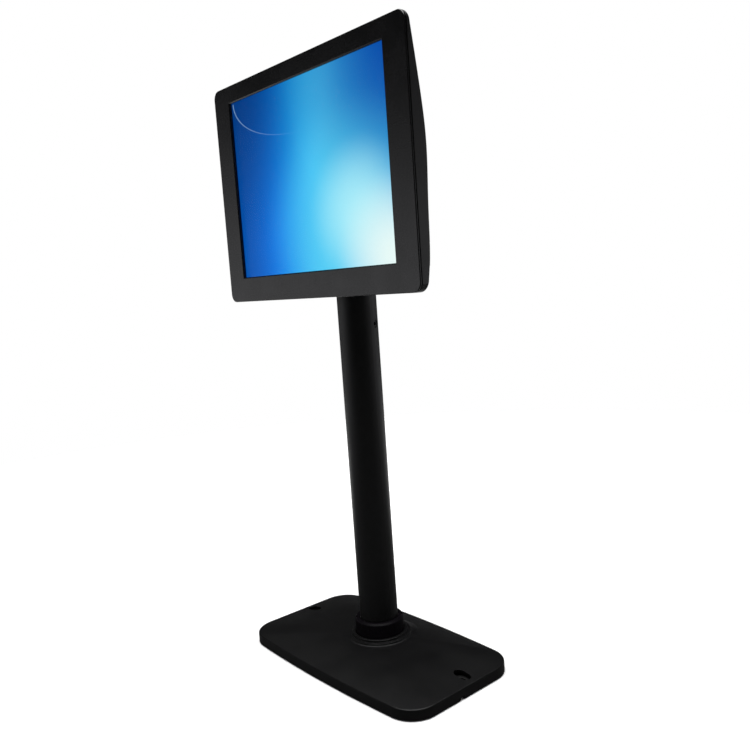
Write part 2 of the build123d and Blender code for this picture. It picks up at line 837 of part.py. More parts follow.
ribbon_bend = board_height / 2 + 2.0
bracket_head_height = 2.4
bracket_head_edge = 1.2
bracket_screw_length = 9.5
bracket_cross_length = 4.2
bracket_cross_width = 0.8
bracket_cross_depth = 1.3


def depth_y(depth):
    """World Y of a point that lies depth behind the bezel's face."""
    return face_y + depth


port_cuts = [(x, board_back + usb_height / 2, usb_width, usb_height) for x in usb_places]
port_cuts.append((video_place, board_back + video_height / 2, video_width, video_height))
port_cuts.append((dc_place, board_back + dc_height / 2, dc_width, dc_height))
wall_cut_low = head_height - hump_height / 2 - hump_draft - shell_wall
wall_cut_plane = Plane.XY.offset(wall_cut_low)

head_seat = cover_post_top + shell_wall

with BuildPart() as rear_cover:
    with BuildSketch(behind_face(rear_edge)):
        RectangleRounded(bezel_width, bezel_height, bezel_corner)
    extrude(amount=hump_depth)
    with BuildSketch(side_plane(-bezel_width)):
        add(wedge_outer)
    extrude(amount=2 * bezel_width, mode=Mode.INTERSECT)
    fillet(rear_cover.faces().sort_by(Axis.Y)[-1].outer_wire().edges(), back_edge_rounding)
    with BuildSketch(side_plane(-bezel_width)):
        add(chin_outer)
    extrude(amount=2 * bezel_width, mode=Mode.SUBTRACT)
    add(bay_block)
    add(hump_block)
    fillet(rear_cover.faces().sort_by(Axis.Y)[-1].outer_wire().edges(), hump_edge_rounding)
    add(cover_hollow.part, mode=Mode.SUBTRACT)
    # screw holes in the four columns, counterbored from behind
    with BuildSketch(behind_face(head_seat)):
        with Locations(*cover_post_places):
            Circle(m3_head + head_play)
    extrude(amount=hump_depth, mode=Mode.SUBTRACT)
    with BuildSketch(behind_face(cover_post_top)):
        with Locations(*cover_post_places):
            Circle(m3_radius + shaft_play)
    extrude(amount=past, mode=Mode.SUBTRACT)
    # holes for the bracket screws
    with BuildSketch(behind_face(hump_depth)):
        with Locations(*vesa_places):
            Circle(vesa_hole)
    extrude(amount=-2 * shell_wall, mode=Mode.SUBTRACT)
    # cooling slots above the bracket and at one side, speaker slots at the other side
    with BuildSketch(behind_face(hump_depth)):
        with Locations((0, hump_height / 2 - vent_length)):
            with GridLocations(top_vent_pitch, 0, top_vent_count, 1):
                SlotOverall(vent_length, vent_width, rotation=90)
        with Locations((speaker_place, 0)):
            with GridLocations(0, side_vent_pitch, 1, side_vent_count):
                SlotOverall(vent_length, vent_width)
        with Locations((-speaker_place, 0)):
            with GridLocations(0, side_vent_pitch, 1, speaker_vent_count):
                SlotOverall(vent_length, vent_width)
    extrude(amount=-2 * shell_wall, mode=Mode.SUBTRACT)
    # connector windows and the button's guide hole in the lower wall of the hump
    with BuildSketch(wall_cut_plane):
        for x, depth, width, height in port_cuts:
            with Locations((x, depth_y(depth))):
                Rectangle(width + 2 * fit_gap, height + 2 * fit_gap)
        with Locations((button_place, depth_y(button_axis_depth))):
            Circle(button_radius + 2 * slip)
    extrude(amount=hump_draft + 4 * shell_wall, mode=Mode.SUBTRACT)

with BuildPart() as cover_screws:
    with BuildSketch(behind_face(head_seat)):
        with Locations(*cover_post_places):
            Circle(m3_head)
    extrude(amount=pan_height)
    with BuildSketch(behind_face(screw_skin + shaft_play)):
        with Locations(*cover_post_places):
            Circle(m3_radius)
    extrude(amount=head_seat - screw_skin)
    with BuildSketch(behind_face(head_seat + pan_height)):
        with Locations(*cover_post_places):
            Rectangle(cross_length, cross_width)
            Rectangle(cross_width, cross_length)
    extrude(amount=-cross_depth, mode=Mode.SUBTRACT)

with BuildPart() as chassis:
    with BuildSketch(behind_face(chassis_front)):
        Rectangle(chassis_width, chassis_height)
    extrude(amount=chassis_thickness)
    for side in (-1, 1):
        with BuildSketch(behind_face(post_top)):
            with Locations((side * (chassis_width + chassis_thickness) / 2, 0)):
                Rectangle(chassis_thickness, chassis_height)
        extrude(amount=chassis_back - post_top)
        with BuildSketch(behind_face(post_top)):
            with Locations(
                (side * chassis_post_x, chassis_post_y),
                (side * chassis_post_x, -chassis_post_y),
            ):
                Rectangle(2 * (chassis_post_x - chassis_width / 2), chassis_tab_height)
        extrude(amount=chassis_thickness)
    with BuildSketch(behind_face(post_top)):
        with Locations(*chassis_post_places):
            Circle(m3_radius + shaft_play)
    extrude(amount=chassis_thickness, mode=Mode.SUBTRACT)
    with BuildSketch(behind_face(chassis_front)):
        with Locations((0, ribbon_bend)):
            Rectangle(ribbon_width + ribbon_slot_play, ribbon_slot_height)
    extrude(amount=chassis_thickness, mode=Mode.SUBTRACT)

with BuildPart() as chassis_screws:
    with BuildSketch(behind_face(post_top + chassis_thickness)):
        with Locations(*chassis_post_places):
            Circle(m3_head)
    extrude(amount=pan_height)
    with BuildSketch(behind_face(screw_skin + shaft_play)):
        with Locations(*chassis_post_places):
            Circle(m3_radius)
    extrude(amount=post_top + chassis_thickness - screw_skin)

with BuildPart() as vesa_standoffs:
    with BuildSketch(behind_face(chassis_back)):
        with Locations(*vesa_places):
            RegularPolygon(standoff_radius, 6, major_radius=False)
    extrude(amount=hump_inside - chassis_back)
    with BuildSketch(behind_face(hump_inside)):
        with Locations(*vesa_places):
            Circle(m4_radius + running_fit)
    extrude(amount=-standoff_thread, mode=Mode.SUBTRACT)

with BuildPart() as bracket_screws:
    with BuildSketch(behind_face(bracket_back)):
        with Locations(*vesa_places):
            Circle(m4_head)
    extrude(amount=bracket_head_height)
    fillet(bracket_screws.edges().group_by(Axis.Y)[-1], bracket_head_edge)
    with BuildSketch(behind_face(bracket_back)):
        with Locations(*vesa_places):
            Circle(m4_radius)
    extrude(amount=-bracket_screw_length)
    with BuildSketch(behind_face(bracket_back + bracket_head_height)):
        with Locations(*vesa_places):
            Rectangle(bracket_cross_length, bracket_cross_width)
            Rectangle(bracket_cross_width, bracket_cross_length)
    extrude(amount=-bracket_cross_depth, mode=Mode.SUBTRACT)

with BuildPart() as board_standoffs:
    with BuildSketch(behind_face(chassis_back)):
        with Locations(*board_hole_places):
            Circle(spacer_radius)
            Circle(m3_radius, mode=Mode.SUBTRACT)
    extrude(amount=board_lift)

with BuildPart() as board_screws:
    with BuildSketch(behind_face(board_back)):
        with Locations(*board_hole_places):
            Circle(m3_head)
    extrude(amount=board_screw_head)
    with BuildSketch(behind_face(board_back)):
        with Locations(*board_hole_places):
            Circle(m3_radius - running_fit)
    extrude(amount=-board_thickness - board_screw_bite)

processor_size = 30.0
processor_height = 1.8
heatsink_size = 44.0
heatsink_base = 1.4
fin_count = 9
fin_thickness = 1.0
fin_height = 2.2
standoff_clearance = 1.2
capacitor_radius = 3.0
capacitor_height = 5.0

with BuildPart() as mainboard:
    with BuildSketch(behind_face(board_front)):
        Rectangle(board_width, board_height)
        with Locations(*vesa_places):
            Circle(standoff_radius + standoff_clearance, mode=Mode.SUBTRACT)
        with Locations(*board_hole_places):
            Circle(m3_radius + slip, mode=Mode.SUBTRACT)
    extrude(amount=board_thickness)
    with BuildSketch(behind_face(board_back)):
        Rectangle(processor_size, processor_size)
        with Locations((-54, 20)):
            Rectangle(12, 34)
        with Locations((54, 12)):
            Rectangle(14, 14)
        with Locations((0, ribbon_bend - 9)):
            Rectangle(ribbon_width + 4, 4)
    extrude(amount=processor_height)
    with BuildSketch(behind_face(board_back)):
        with Locations((30, -22), (38, -22), (46, -22), (60, -6)):
            Circle(capacitor_radius)
    extrude(amount=capacitor_height)

with BuildPart() as heat_spreader:
    with BuildSketch(behind_face(board_back + processor_height)):
        Rectangle(heatsink_size, heatsink_size)
    extrude(amount=heatsink_base)
    with BuildSketch(behind_face(board_back + processor_height + heatsink_base)):
        with GridLocations((heatsink_size - fin_thickness) / (fin_count - 1), 0, fin_count, 1):
            Rectangle(fin_thickness, heatsink_size)
    extrude(amount=fin_height)

with BuildPart() as wifi_module:
    with BuildSketch(behind_face(board_back)):
        with Locations((-54, -14)):
            Rectangle(16, 24)
    extrude(amount=1.0)
    with BuildSketch(behind_face(board_back + 1.0)):
        with Locations((-54, -11)):
            Rectangle(13, 14)
    extrude(amount=1.4)

with BuildPart() as touch_board:
    with BuildSketch(behind_face(chassis_back)):
        with Locations((speaker_place, 0)):
            Rectangle(13, 60)
    extrude(amount=1.2)
    with BuildSketch(behind_face(chassis_back + 1.2)):
        with Locations((speaker_place, 18), (speaker_place, -10)):
            Rectangle(8, 10)
    extrude(amount=1.6)

with BuildPart() as speaker:
    with BuildSketch(behind_face(hump_inside - 7)):
        with Locations((-speaker_place, 0)):
            RectangleRounded(15, 42, 6)
    extrude(amount=7 - slip)
    with BuildSketch(behind_face(hump_inside)):
        with Locations((-speaker_place, 0)):
            SlotOverall(34, 10, rotation=90)
    extrude(amount=-1.5, mode=Mode.SUBTRACT)

with BuildPart() as display_ribbon:
    with BuildSketch(side_plane(-ribbon_width / 2)):
        low = panel_back
        high = board_back + processor_height
        with Locations((low + ribbon_thickness / 2, ribbon_bend - ribbon_low_tail / 2)):
            Rectangle(ribbon_thickness, ribbon_low_tail)
        with Locations(((low + high + ribbon_thickness) / 2, ribbon_bend + ribbon_thickness / 2)):
            Rectangle(high - low + ribbon_thickness, ribbon_thickness)
        with Locations((high + ribbon_thickness / 2, ribbon_bend - ribbon_high_tail / 2)):
            Rectangle(ribbon_thickness, ribbon_high_tail)
    extrude(amount=ribbon_width)

# Connectors stand on the board and open downward through the hump's lower wall
port_mouth = Plane(origin=(0, 0, head_height - port_face), x_dir=(1, 0, 0), z_dir=(0, 0, 1))

with BuildPart() as usb_ports:
    for x in usb_places:
        with BuildSketch(port_mouth):
            with Locations((x, depth_y(board_back + usb_height / 2))):
                Rectangle(usb_width, usb_height)
        extrude(amount=port_length)
        with BuildSketch(port_mouth):
            with Locations((x, depth_y(board_back + usb_height / 2))):
                Rectangle(usb_width - 1.2, usb_height - 1.4)
            with Locations((x, depth_y(board_back + usb_height / 2 + 0.7))):
                Rectangle(usb_width - 3.2, 1.8, mode=Mode.SUBTRACT)
        extrude(amount=9, mode=Mode.SUBTRACT)

with BuildPart() as video_port:
    with BuildSketch(port_mouth):
        with Locations((video_place, depth_y(board_back + video_height / 2))):
            Rectangle(video_width, video_height)
    extrude(amount=port_length - 6)
    with BuildSketch(port_mouth):
        with Locations((video_place, depth_y(board_back + video_height / 2))):
            Rectangle(video_width - 1.2, video_height - 1.2)
            Rectangle(video_width - 3.4, 1.4, mode=Mode.SUBTRACT)
    extrude(amount=8, mode=Mode.SUBTRACT)

with BuildPart() as dc_inlet:
    with BuildSketch(port_mouth):
        with Locations((dc_place, depth_y(board_back + dc_height / 2))):
            Rectangle(dc_width, dc_height)
    extrude(amount=port_length - 8)
    with BuildSketch(port_mouth):
        with Locations((dc_place, depth_y(board_back + dc_height / 2))):
            Circle(2.8)
            Circle(1.0, mode=Mode.SUBTRACT)
    extrude(amount=10, mode=Mode.SUBTRACT)

# Power button: a capped plunger that slides up through the hump's lower wall
hump_low = head_height - hump_height / 2
button_proud = 6.2
button_inside = 2.2
button_flange = 1.4
button_flange_width = 9.0
button_flange_depth = 7.0
button_stem_radius = 1.4
button_stem = 4.6
button_edge = 0.5
button_bottom = hump_low - button_proud
button_flange_z = hump_low + button_inside
button_stem_top = button_flange_z + button_flange + button_stem
switch_bottom = button_stem_top + button_travel + fit_gap
switch_width = 7.0
switch_height = 6.0
spring_radius = 2.25
spring_wire = 0.25
spring_pitch = 1.2
button_centre = (button_place, depth_y(button_axis_depth))

with BuildPart() as power_button:
    with BuildSketch(Plane.XY.offset(button_bottom)):
        with Locations(button_centre):
            Circle(button_radius)
    extrude(amount=button_flange_z - button_bottom)
    chamfer(power_button.edges().group_by(Axis.Z)[0], button_edge)
    with BuildSketch(Plane.XY.offset(button_flange_z)):
        with Locations(button_centre):
            Rectangle(button_flange_width, button_flange_depth)
    extrude(amount=button_flange)
    with BuildSketch(Plane.XY.offset(button_flange_z + button_flange)):
        with Locations(button_centre):
            Circle(button_stem_radius)
    extrude(amount=button_stem_top - button_flange_z - button_flange)

with BuildPart() as button_spring:
    spring_foot = button_flange_z + button_flange + spring_wire + slip
    spring_head = switch_bottom - spring_wire - slip
    with BuildLine() as coil:
        Helix(
            spring_pitch,
            spring_head - spring_foot,
            spring_radius,
            center=(button_centre[0], button_centre[1], spring_foot),
        )
    with BuildSketch(Plane(origin=coil.line @ 0, z_dir=coil.line % 0)):
        Circle(spring_wire)
    sweep()

with BuildPart() as power_switch:
    with BuildSketch(Plane.XY.offset(switch_bottom)):
        with Locations((button_place, depth_y((board_back + hump_inside) / 2 - shaft_play))):
            Rectangle(switch_width, hump_inside - board_back - 1.0)
    extrude(amount=switch_height)

for piece, name in (
    (foot_cover, "foot_cover"),
    (foot_plate, "foot_plate"),
    (foot_screws, "foot_screws"),
    (socket_screws, "socket_screws"),
    (foot_pads, "foot_pads"),
    (pole_socket, "pole_socket"),
    (pole_ferrule, "pole_ferrule"),
    (locking_collar, "locking_collar"),
    (pole_tube, "pole_tube"),
    (stem_set_screw, "stem_set_screw"),
    (lower_bush, "lower_bush"),
    (upper_bush, "upper_bush"),
    (neck_stem, "neck_stem"),
    (tilt_bolt, "tilt_bolt"),
    (tilt_nut, "tilt_nut"),
    (friction_washers, "friction_washers"),
    (spring_washer, "spring_washer"),
    (tilt_bracket, "tilt_bracket"),
    (front_bezel, "front_bezel"),
    (glass_gasket, "glass_gasket"),
    (touch_glass, "touch_glass"),
    (lcd_panel, "lcd_panel"),
    (rear_cover, "rear_cover"),
    (cover_screws, "cover_screws"),
    (chassis, "chassis"),
    (chassis_screws, "chassis_screws"),
    (vesa_standoffs, "vesa_standoffs"),
    (bracket_screws, "bracket_screws"),
    (board_standoffs, "board_standoffs"),
    (board_screws, "board_screws"),
    (mainboard, "mainboard"),
    (heat_spreader, "heat_spreader"),
    (wifi_module, "wifi_module"),
    (touch_board, "touch_board"),
    (speaker, "speaker"),
    (display_ribbon, "display_ribbon"),
    (usb_ports, "usb_ports"),
    (video_port, "video_port"),
    (dc_inlet, "dc_inlet"),
    (power_button, "power_button"),
    (button_spring, "button_spring"),
    (power_switch, "power_switch"),
):
    piece.part.label = name
    export_step(piece.part, f"parts/{name}.step")
    print(name, round(piece.part.volume / 1000, 1), "cm3", len(piece.part.solids()), "solids")
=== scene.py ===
# %% [markdown]
# # A countertop touch terminal, dressed in Blender
#
# The terminal is a 12 inch touchscreen head on a round pole with a broad, low foot.
# Its parts come in finished as solids: every size and every joint is settled there.
# This lesson gives those parts their surfaces: moulded plastic, powder-coated steel,
# bare and blackened fasteners, rubber, glass, and a lit picture behind the glass.
# The parts are not moved or resized. The few new pieces are small: the metal contacts and
# the pin's cap inside the sockets under the rear hump, and a plain stand-in for the
# button's return spring.

# %% Load the frame
from math import cos, radians, sin

import bmesh
import bpy
from mathutils import Matrix, Vector


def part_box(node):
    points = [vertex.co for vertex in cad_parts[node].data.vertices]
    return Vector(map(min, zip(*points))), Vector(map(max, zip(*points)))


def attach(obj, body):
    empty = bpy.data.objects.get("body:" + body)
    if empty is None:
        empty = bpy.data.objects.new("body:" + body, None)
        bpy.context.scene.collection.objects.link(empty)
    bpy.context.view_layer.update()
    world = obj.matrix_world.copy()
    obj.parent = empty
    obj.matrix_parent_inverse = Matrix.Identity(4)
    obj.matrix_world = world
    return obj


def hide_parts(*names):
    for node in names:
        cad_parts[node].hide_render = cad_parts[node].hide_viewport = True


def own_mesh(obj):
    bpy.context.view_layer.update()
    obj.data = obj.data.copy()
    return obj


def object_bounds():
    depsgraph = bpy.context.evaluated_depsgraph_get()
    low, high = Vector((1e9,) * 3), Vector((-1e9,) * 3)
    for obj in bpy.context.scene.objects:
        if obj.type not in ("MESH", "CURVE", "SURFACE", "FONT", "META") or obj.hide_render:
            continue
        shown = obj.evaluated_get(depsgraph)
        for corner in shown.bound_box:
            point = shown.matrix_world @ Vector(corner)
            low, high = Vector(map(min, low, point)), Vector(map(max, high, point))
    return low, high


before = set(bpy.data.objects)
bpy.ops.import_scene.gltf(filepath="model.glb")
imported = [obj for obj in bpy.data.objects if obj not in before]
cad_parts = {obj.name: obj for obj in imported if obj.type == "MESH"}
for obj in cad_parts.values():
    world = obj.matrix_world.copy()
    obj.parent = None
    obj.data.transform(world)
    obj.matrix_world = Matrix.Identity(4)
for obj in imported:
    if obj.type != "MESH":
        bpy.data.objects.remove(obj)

cad_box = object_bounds()

# %% [markdown]
# ## Camera
#
# The camera stands to the right of the screen, about level with its lower edge, and is
# rolled a few degrees, so the pole leans. The heading turns the view from
# straight ahead (+Y) towards -X, the pitch looks down, and the roll is added last.
# The standard view transform keeps white white and leaves the blacks as deep as they are.

# %% Camera
CAMERA_PLACE = Vector((0.6232, -0.5060, 0.3962))
CAMERA_HEADING = radians(49.41)
CAMERA_PITCH = radians(6.68)
CAMERA_ROLL = radians(-3.97)
SENSOR_WIDTH = 36.0
LENS = 37.4


def camera_matrix(place, heading, pitch, roll):
    """A camera's placement from where it stands and the three angles."""
    level_right = Vector((cos(heading), sin(heading), 0.0))
    ahead = Vector((-sin(heading) * cos(pitch), cos(heading) * cos(pitch), -sin(pitch)))
    level_up = level_right.cross(ahead)
    right = cos(roll) * level_right + sin(roll) * level_up
    up = cos(roll) * level_up - sin(roll) * level_right
    turn = Matrix((right, up, -ahead)).transposed().to_4x4()
    return Matrix.Translation(place) @ turn


camera = bpy.data.objects.new("camera", bpy.data.cameras.new("camera"))
bpy.context.scene.collection.objects.link(camera)
camera.matrix_world = camera_matrix(CAMERA_PLACE, CAMERA_HEADING, CAMERA_PITCH, CAMERA_ROLL)
camera.data.sensor_width = SENSOR_WIDTH
camera.data.lens = LENS
bpy.context.scene.camera = camera
bpy.context.scene.view_settings.view_transform = "Standard"
print("camera at", tuple(round(v, 3) for v in CAMERA_PLACE), "lens", LENS, "mm")

# %% [markdown]
# ## Node helpers
#
# Every material below is a small node tree. These helpers add a node, set its sockets and
# link it, so each finish reads as a short recipe. A socket value that is the same all over
# the surface is set on the shader itself; only what changes over the surface is linked.

# %% Node helpers
NODE_STEP = 220


class Tree:
    """A node tree being filled, with nodes laid out from left to right as they are added."""

    def __init__(self, tree):
        self.nodes = tree.nodes
        self.links = tree.links
        self.count = 0

    def add(self, kind, **values):
        """Adds one node. A value named after an input sets or links it, any other sets a property."""
        node = self.nodes.new(kind)
        node.location = (NODE_STEP * self.count, 0)
        self.count += 1
        for name, value in values.items():
            if name.startswith("p_"):
                setattr(node, name[2:], value)
        for name, value in values.items():
            if not name.startswith("p_"):
                self.feed(node.inputs[self.socket_index(node, name)], value)
        return node

    def socket_index(self, node, name):
        """Finds an input by its name with underscores for spaces, or by i0, i1, ... for its number."""
        if name[0] == "i" and name[1:].isdigit():
            return int(name[1:])
        plain = name.replace("_", " ")
        for number, socket in enumerate(node.inputs):
            if socket.name.lower() == plain.lower() and socket.enabled:
                return number
        raise KeyError(f"{node.bl_idname} has no input {name}")

    def feed(self, socket, value):
        """Links a socket to another node's output, or sets its value."""
        if isinstance(value, bpy.types.NodeSocket):
            self.links.new(value, socket)
        else:
            socket.default_value = value

    def math(self, operation, first, second=0.0, clamp=False):
        """One step of arithmetic; returns its output."""
        node = self.add("ShaderNodeMath", p_operation=operation, p_use_clamp=clamp, i0=first, i1=second)
        return node.outputs[0]

    def ramp(self, value, stops, ease="LINEAR"):
        """A colour ramp through the given (place, colour) stops; returns its colour."""
        node = self.add("ShaderNodeValToRGB", Fac=value)
        node.color_ramp.interpolation = ease
        elements = node.color_ramp.elements
        while len(elements) < len(stops):
            elements.new(0.5)
        for element, (place, colour) in zip(elements, stops):
            element.position = place
            element.color = (*colour, 1.0)
        return node.outputs["Color"]

    def mix(self, share, first, second, blend="MIX"):
        """Mixes two colours; returns the result."""
        node = self.add("ShaderNodeMix", p_data_type="RGBA", p_blend_type=blend)
        self.feed(node.inputs[0], share)
        self.feed(node.inputs[6], first)
        self.feed(node.inputs[7], second)
        return node.outputs[2]


def grey(value):
    """A grey as a node colour."""
    return (value, value, value, 1.0)


def start_group(name, inputs, outputs):
    """Makes a shader node group with the given sockets and returns its tree and its two end nodes."""
    group = bpy.data.node_groups.new(name, "ShaderNodeTree")
    for socket_name, kind, value in inputs:
        socket = group.interface.new_socket(name=socket_name, in_out="INPUT", socket_type=kind)
        socket.default_value = value
    for socket_name, kind in outputs:
        group.interface.new_socket(name=socket_name, in_out="OUTPUT", socket_type=kind)
    tree = Tree(group)
    return group, tree, tree.add("NodeGroupInput"), tree.add("NodeGroupOutput")


FLOAT = "NodeSocketFloat"
COLOUR = "NodeSocketColor"
print("node helpers ready")

# %% [markdown]
# ## Shared effect: fine grain
#
# Moulded covers are sparked: the mould's wall is eroded into a fine even texture, and the
# plastic copies it. Powder coat dries into a rounder, coarser orange peel. The bumps are from
# a quarter of a millimetre to a little over one millimetre wide. One group makes them from a
# noise for the grain and a larger, softer noise for the flow of the surface, and each material
# chooses the sizes and amounts.
# Coordinates are the piece's own metres, so the grain has one real size on every piece.

# %% Group: fine grain
MM = 0.001


def build_grain_group():
    """Height of a fine moulded or sprayed texture, with a value for tinting and roughness."""
    group, tree, start, end = start_group(
        "fine_grain",
        [("Grain size mm", FLOAT, 0.4), ("Flow size mm", FLOAT, 4.0), ("Flow amount", FLOAT, 0.3)],
        [("Height", FLOAT), ("Speckle", FLOAT)],
    )
    place = tree.add("ShaderNodeTexCoord").outputs["Object"]
    grain_scale = tree.math("DIVIDE", 1.0 / MM, start.outputs["Grain size mm"])
    flow_scale = tree.math("DIVIDE", 1.0 / MM, start.outputs["Flow size mm"])
    grain = tree.add("ShaderNodeTexNoise", Vector=place, Scale=grain_scale, Detail=2.0, Roughness=0.6)
    flow = tree.add("ShaderNodeTexNoise", Vector=place, Scale=flow_scale, Detail=1.0, Roughness=0.4)
    flow_part = tree.math("MULTIPLY", flow.outputs["Fac"], start.outputs["Flow amount"])
    height = tree.math("ADD", grain.outputs["Fac"], flow_part)
    tree.feed(end.inputs["Height"], height)
    tree.feed(end.inputs["Speckle"], grain.outputs["Fac"])
    return group


grain_group = build_grain_group()
print("group:", grain_group.name, [s.name for s in grain_group.interface.items_tree])

# %% [markdown]
# ## Shared effect: handling marks
#
# Things on a shop counter are touched all day. Fingers leave faint greasy clouds that are a
# little shinier than the plastic, and cleaning cloths leave short fine streaks. Both change
# roughness far more than colour. A stretched noise gives the streaks, and a broad noise with
# its contrast raised gives the clouds.

# %% Group: handling marks
def build_marks_group():
    """Masks of greasy clouds and of cloth streaks."""
    group, tree, start, end = start_group(
        "handling_marks",
        [("Cloud size mm", FLOAT, 45.0), ("Streak size mm", FLOAT, 6.0)],
        [("Clouds", FLOAT), ("Streaks", FLOAT)],
    )
    place = tree.add("ShaderNodeTexCoord").outputs["Object"]
    cloud_scale = tree.math("DIVIDE", 1.0 / MM, start.outputs["Cloud size mm"])
    streak_scale = tree.math("DIVIDE", 1.0 / MM, start.outputs["Streak size mm"])
    cloud = tree.add("ShaderNodeTexNoise", Vector=place, Scale=cloud_scale, Detail=3.0, Roughness=0.55)
    cloud_mask = tree.add(
        "ShaderNodeMapRange", p_clamp=True, Value=cloud.outputs["Fac"], From_Min=0.45, From_Max=0.72
    )
    turned = tree.add("ShaderNodeMapping", Vector=place)
    turned.inputs["Rotation"].default_value = (0.3, 0.5, 0.2)
    turned.inputs["Scale"].default_value = (0.12, 1.0, 1.0)
    streak = tree.add(
        "ShaderNodeTexNoise", Vector=turned.outputs["Vector"], Scale=streak_scale, Detail=4.0, Roughness=0.7
    )
    streak_mask = tree.add(
        "ShaderNodeMapRange", p_clamp=True, Value=streak.outputs["Fac"], From_Min=0.55, From_Max=0.8
    )
    tree.feed(end.inputs["Clouds"], cloud_mask.outputs["Result"])
    tree.feed(end.inputs["Streaks"], streak_mask.outputs["Result"])
    return group


marks_group = build_marks_group()
print("group:", marks_group.name)

# %% [markdown]
# ## Shared effect: worn edges
#
# Paint and texture rub smooth first along the edges that hands and boxes touch. The Bevel
# node gives the normal that the surface would have if its edges were rounded by a small
# radius. Where that differs from the true normal there is an edge, so the difference is the
# mask, and the rounded normal itself lets each edge catch a thin line of light. Noise breaks
# the mask up, because wear is never even.

# %% Group: worn edges
def build_edge_group():
    """Mask of the outer edges, broken up by noise, and the normal with edges rounded off."""
    group, tree, start, end = start_group(
        "worn_edges",
        [("Radius", FLOAT, 0.0006), ("Break up", FLOAT, 0.5)],
        [("Edge", FLOAT), ("Rounded", "NodeSocketVector")],
    )
    rounded = tree.add("ShaderNodeBevel", p_samples=4, Radius=start.outputs["Radius"])
    true_normal = tree.add("ShaderNodeNewGeometry").outputs["Normal"]
    along = tree.add(
        "ShaderNodeVectorMath", p_operation="DOT_PRODUCT", i0=rounded.outputs["Normal"], i1=true_normal
    )
    edge = tree.add(
        "ShaderNodeMapRange", p_clamp=True, Value=along.outputs["Value"], From_Min=0.995, From_Max=0.8
    )
    place = tree.add("ShaderNodeTexCoord").outputs["Object"]
    patches = tree.add("ShaderNodeTexNoise", Vector=place, Scale=160.0, Detail=5.0, Roughness=0.65)
    worn = tree.add(
        "ShaderNodeMapRange", p_clamp=True, Value=patches.outputs["Fac"], From_Min=0.4, From_Max=0.62
    )
    kept = tree.math("SUBTRACT", 1.0, start.outputs["Break up"])
    spread = tree.math("MAXIMUM", worn.outputs["Result"], kept)
    tree.feed(end.inputs["Edge"], tree.math("MULTIPLY", edge.outputs["Result"], spread))
    tree.feed(end.inputs["Rounded"], rounded.outputs["Normal"])
    return group


edge_group = build_edge_group()
print("group:", edge_group.name)

# %% [markdown]
# ## Coats: plastic, paint, rubber
#
# All the black parts share one recipe: a dark base, the grain as bump, greasy clouds and
# cloth streaks in the roughness, and edges a shade lighter, partly as rubbed wear and partly as a
# painted highlight along the rims. What differs is the numbers: the bezel is a smooth satin, the
# rear cover is coarser, the pole's powder coat has orange peel, and rubber is rougher and warmer.
# The specular level sets how strongly each one reflects: the bezel has the usual 0.5, the foot
# about half of that, and the collar hardly any.

# %% Material: dark coat
def principled(name):
    """A fresh material with one Principled shader, as (material, tree, shader)."""
    material = bpy.data.materials.new(name)
    material.use_nodes = True
    material.node_tree.nodes.clear()
    tree = Tree(material.node_tree)
    shader = tree.add("ShaderNodeBsdfPrincipled")
    output = tree.add("ShaderNodeOutputMaterial", Surface=shader.outputs["BSDF"])
    output.location = (NODE_STEP, 300)
    return material, tree, shader


def use_group(tree, group, **values):
    """Places a node group in a material with its own values."""
    node = tree.add("ShaderNodeGroup", p_node_tree=group)
    for name, value in values.items():
        tree.feed(node.inputs[name.replace("_", " ")], value)
    return node


CLOUD_LIGHTER = 1.5
CLOUD_TINT = 0.3
CLOUD_ROUGHNESS = -0.07
STREAK_ROUGHNESS = -0.04
EDGE_ROUGHNESS = -0.1
GRAIN_ROUGHNESS = 0.08
FLOW_TO_GRAIN = 9
GRAIN_DEPTH = 0.15


def dark_coat(name, colour, roughness, grain_mm, bump, specular=0.3, wear_and_highlight_tint=1.6, wear=0.6, peel=0.3):
    """Moulded plastic, powder coat or rubber."""
    material, tree, shader = principled(name)
    grain = use_group(
        tree, grain_group, Grain_size_mm=grain_mm, Flow_size_mm=grain_mm * FLOW_TO_GRAIN, Flow_amount=peel
    )
    marks = use_group(tree, marks_group)
    edges = use_group(tree, edge_group, Break_up=wear)

    speckled = tree.add(
        "ShaderNodeMapRange", Value=grain.outputs["Speckle"], From_Min=0.3, From_Max=0.7,
        To_Min=0.85, To_Max=1.15,
    )
    base = tree.add("ShaderNodeVectorMath", p_operation="SCALE", i0=colour, Scale=speckled.outputs["Result"])
    # Edges a shade lighter: partly rubbed wear, partly a painted highlight along the rims.
    lighter = tuple(channel * wear_and_highlight_tint for channel in colour)
    dulled = tuple(channel * CLOUD_LIGHTER for channel in colour)
    worn_and_highlit = tree.mix(edges.outputs["Edge"], base.outputs["Vector"], (*lighter, 1.0))
    hazy = tree.math("MULTIPLY", marks.outputs["Clouds"], CLOUD_TINT)
    tree.feed(shader.inputs["Base Color"], tree.mix(hazy, worn_and_highlit, (*dulled, 1.0)))

    greasy = tree.math("MULTIPLY", marks.outputs["Clouds"], CLOUD_ROUGHNESS)
    wiped = tree.math("MULTIPLY", marks.outputs["Streaks"], STREAK_ROUGHNESS)
    rubbed = tree.math("MULTIPLY", edges.outputs["Edge"], EDGE_ROUGHNESS)
    grainy = tree.math("MULTIPLY", grain.outputs["Speckle"], GRAIN_ROUGHNESS)
    lowered = tree.math("ADD", greasy, tree.math("ADD", wiped, rubbed))
    rough = tree.math("ADD", roughness - GRAIN_ROUGHNESS / 2, lowered)
    tree.feed(shader.inputs["Roughness"], tree.math("ADD", rough, grainy, clamp=True))

    bumped = tree.add(
        "ShaderNodeBump",
        Strength=bump,
        Distance=GRAIN_DEPTH * grain_mm * MM,
        Height=grain.outputs["Height"],
        Normal=edges.outputs["Rounded"],
    )
    tree.feed(shader.inputs["Normal"], bumped.outputs["Normal"])
    shader.inputs["Specular IOR Level"].default_value = specular
    return material


